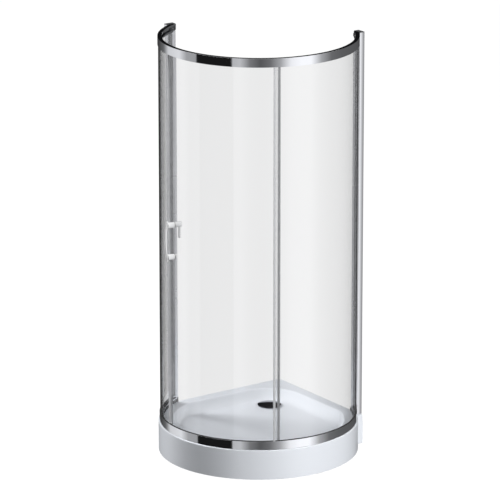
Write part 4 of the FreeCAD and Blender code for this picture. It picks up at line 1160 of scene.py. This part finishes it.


# Only a quarter metallic over a near white base: the whiteness is a painted reflection of bright
# surroundings on the chromed handle.
chrome_with_painted_bright_reflection = new_finish(
    "chrome with painted bright reflection", {"Metallic": 0.25}, tones=((0.97, 0.975, 0.985), (0.95, 0.955, 0.965)),
    film=(14.0, 0.08, 0.14), relief=(80.0, 80.0, 0.000004))
handle_middles = solids_of("handle_studs")
handle_turn = Matrix.Rotation(math.atan2(handle_middles[0].y, handle_middles[0].x), 4, "Z")
lower_post, upper_post = sorted(middle.z for middle in handle_middles)
door_inner, door_outer = sector_of("door_pane")[:2]
bow_steps = 48
finger_steps = 8
grip_projection = 0.047
grip_sag = 0.009
grip_end = 0.0155
hook_length = 0.033
hook_drop = 0.067
finger_setback = 0.0032
inner_cap_length = 0.008
post_gap = 0.0001

grip_crest = door_outer + grip_projection - grip_radius
grip_middle = (lower_post + upper_post) / 2
grip_half = (upper_post - lower_post) / 2 + grip_end
bow_radius = (grip_half ** 2 + grip_sag ** 2) / (2 * grip_sag)
bow_turn = math.asin(grip_half / bow_radius)
bow_turns = [bow_turn * (2 * i / bow_steps - 1) for i in range(bow_steps + 1)]
bow_line = [
    (grip_crest - bow_radius + bow_radius * math.cos(turn), 0, grip_middle + bow_radius * math.sin(turn))
    for turn in bow_turns
]
post_root = door_outer + post_gap
post_tip = grip_crest - grip_sag
bow = piece_from(swept_rod(bow_line), "bow_grip")
for height in (lower_post, upper_post):
    post = piece_from(post_shape(post_root, post_tip, height, post_edge / 2), "outer_post")
    combined(bow, "UNION", post)

inner_face = math.sqrt(door_inner ** 2 - post_radius ** 2) - post_gap
hook_tip = inner_face - hook_length
finger_place = hook_tip + finger_setback + grip_radius
finger_length = hook_drop - grip_radius
finger_line = [
    (finger_place, 0, upper_post - finger_length * i / finger_steps) for i in range(finger_steps + 1)
]
hook = combined(
    piece_from(post_shape(hook_tip, inner_face, upper_post, post_edge), "inner_hook"), "UNION",
    piece_from(swept_rod(finger_line), "hook_finger"))
inner_cap = piece_from(
    post_shape(inner_face - inner_cap_length, inner_face, lower_post, post_edge), "inner_cap")
for piece, node in ((bow, "handle_grip"), (hook, "handle_hook"), (inner_cap, "handle_inner_cap")):
    piece.data.transform(handle_turn)
    fitted(piece, chrome_with_painted_bright_reflection, "polished_chrome", node, body="door")


# Studio. A pale floor that keeps a faint shadow, a white surround with dark and light panels that only
# polished metal and glass reflect, three soft lamps, and the camera a long way off with a long lens.

view_turn = math.radians(234.8)
view_rise = math.radians(16.31)
view_distance = 19.636
view_target = Vector((-0.032, 0.0226, 0.963))
view_lens = 305.6
view_reach = 100.0


def set_facing(item, turn, rise, distance):
    """Stands a camera or a lamp at a distance from the target and turns it there."""
    direction = Vector((math.cos(rise) * math.cos(turn), math.cos(rise) * math.sin(turn), math.sin(rise)))
    item.location = view_target + distance * direction
    item.rotation_euler = direction.to_track_quat("Z", "Y").to_euler()


camera = placed("camera", bpy.data.cameras.new("camera"))
camera.data.lens = view_lens
camera.data.clip_end = view_reach
set_facing(camera, view_turn, view_rise, view_distance)
bpy.context.scene.camera = camera
bpy.context.scene.view_settings.view_transform = "Standard"


def worked_out(tree, operation, *terms):
    """The outlet of a calculation with outlets and plain values."""
    return wired(tree, "ShaderNodeMath", dict(enumerate(terms)), operation=operation).outputs["Value"]


floor_reach = 40.0
floor_tone = (0.9, 0.9, 0.9)
floor_roughness = 0.9
floor_glow = 1.065
floor_glow_share = 0.94
floor_shape = bmesh.new()
bmesh.ops.create_grid(floor_shape, x_segments=1, y_segments=1, size=floor_reach)
floor = piece_from(floor_shape, "floor")
floor.visible_glossy = False
floor.visible_diffuse = False
floor.visible_transmission = False
pale_floor, floor_tree, matt = new_material(
    "pale floor", {"Base Color": solid(floor_tone), "Roughness": floor_roughness})
glow = wired(floor_tree, "ShaderNodeEmission", {"Strength": floor_glow})
path = wired(floor_tree, "ShaderNodeLightPath")
glow_share = worked_out(floor_tree, "MULTIPLY", path.outputs["Is Camera Ray"], floor_glow_share)
surface_mix(floor_tree, glow_share, matt.outputs["BSDF"], glow.outputs["Emission"])
floor.data.materials.append(pale_floor)

half_turn = 180
panel_tones = [
    (-180, 0.04), (-155, 0.06), (-139, 0.13), (-134, 0.24), (-125, 0.66), (-102, 0.77), (-90, 0.38),
    (-76, 0.35), (-75, 0.01), (-31, 0.01), (-30, 0.5), (-21, 0.55), (-10, 0.2), (2, 0.10), (13, 0.16),
    (25, 0.40), (37, 0.92), (49, 1.06), (62, 1.06), (76, 0.40), (91, 0.15), (109, 0.115), (150, 0.09),
    (180, 0.04),
]
panel_blue_share = 1.02
overhead_low = 0.54
overhead_high = 0.68
back_foot_low = 0.02
back_foot_high = 0.12
back_depth_low = -0.2
back_depth_high = -0.6
back_tone = (0.006, 0.006, 0.0065)
ambient_tone = (0.09, 0.09, 0.09)
white_tone = (1.0, 1.0, 1.0)
bounce_threshold = 0.5
world = bpy.data.worlds.new("studio")
world.use_nodes = True
bpy.context.scene.world = world
sky = world.node_tree
aim = wired(sky, "ShaderNodeTexCoord").outputs["Generated"]
facing = wired(sky, "ShaderNodeMapping", {"Vector": aim, "Rotation": (0, 0, -view_turn)}).outputs["Vector"]
around = wired(sky, "ShaderNodeTexGradient", {"Vector": facing}, gradient_type="RADIAL")
panels = wired(sky, "ShaderNodeValToRGB", {"Fac": around.outputs["Fac"]})
while len(panels.color_ramp.elements) < len(panel_tones):
    panels.color_ramp.elements.new(0)
for element, (angle, tone) in zip(panels.color_ramp.elements, panel_tones):
    element.position = (angle + half_turn) / (2 * half_turn)
    element.color = solid((tone, tone, tone * panel_blue_share))
aim_height = wired(sky, "ShaderNodeSeparateXYZ", {"Vector": aim}).outputs["Z"]
aim_depth = wired(sky, "ShaderNodeSeparateXYZ", {"Vector": facing}).outputs["X"]
back = worked_out(
    sky, "MULTIPLY", smooth_mask(sky, aim_height, back_foot_low, back_foot_high),
    smooth_mask(sky, aim_depth, back_depth_low, back_depth_high))
overhead = smooth_mask(sky, worked_out(sky, "ABSOLUTE", aim_height), overhead_low, overhead_high)
walls = mixed(sky, back, panels.outputs["Color"], solid(back_tone))
reflected = mixed(sky, overhead, walls, solid(white_tone))
rays = wired(sky, "ShaderNodeLightPath").outputs
straight = worked_out(sky, "LESS_THAN", rays["Diffuse Depth"], bounce_threshold)
seen = worked_out(sky, "MAXIMUM", rays["Is Camera Ray"], rays["Is Transmission Ray"])
mirrored = worked_out(sky, "GREATER_THAN", rays["Glossy Depth"], bounce_threshold)
surround = mixed(sky, worked_out(sky, "MULTIPLY", seen, straight), solid(ambient_tone), solid(white_tone))
shown = mixed(sky, worked_out(sky, "MULTIPLY", mirrored, straight), surround, reflected)
feed(sky, sky.nodes["Background"].inputs["Color"], shown)

lamp_distance = 7.0
lamp_size = 3.0
for name, turn, rise, power in (
    ("key lamp", 40, 22, 528.0),
    ("edge lamp", -116, 26, 620.0),
    ("top lamp", 0, 89, 138.0),
):
    lamp = placed(name, bpy.data.lights.new(name, "AREA"))
    lamp.data.shape = "DISK"
    lamp.data.size = lamp_size
    lamp.data.energy = power
    set_facing(lamp, view_turn + math.radians(turn), math.radians(rise), lamp_distance)
    lamp.visible_glossy = False
    lamp.visible_camera = False
    lamp.visible_transmission = False
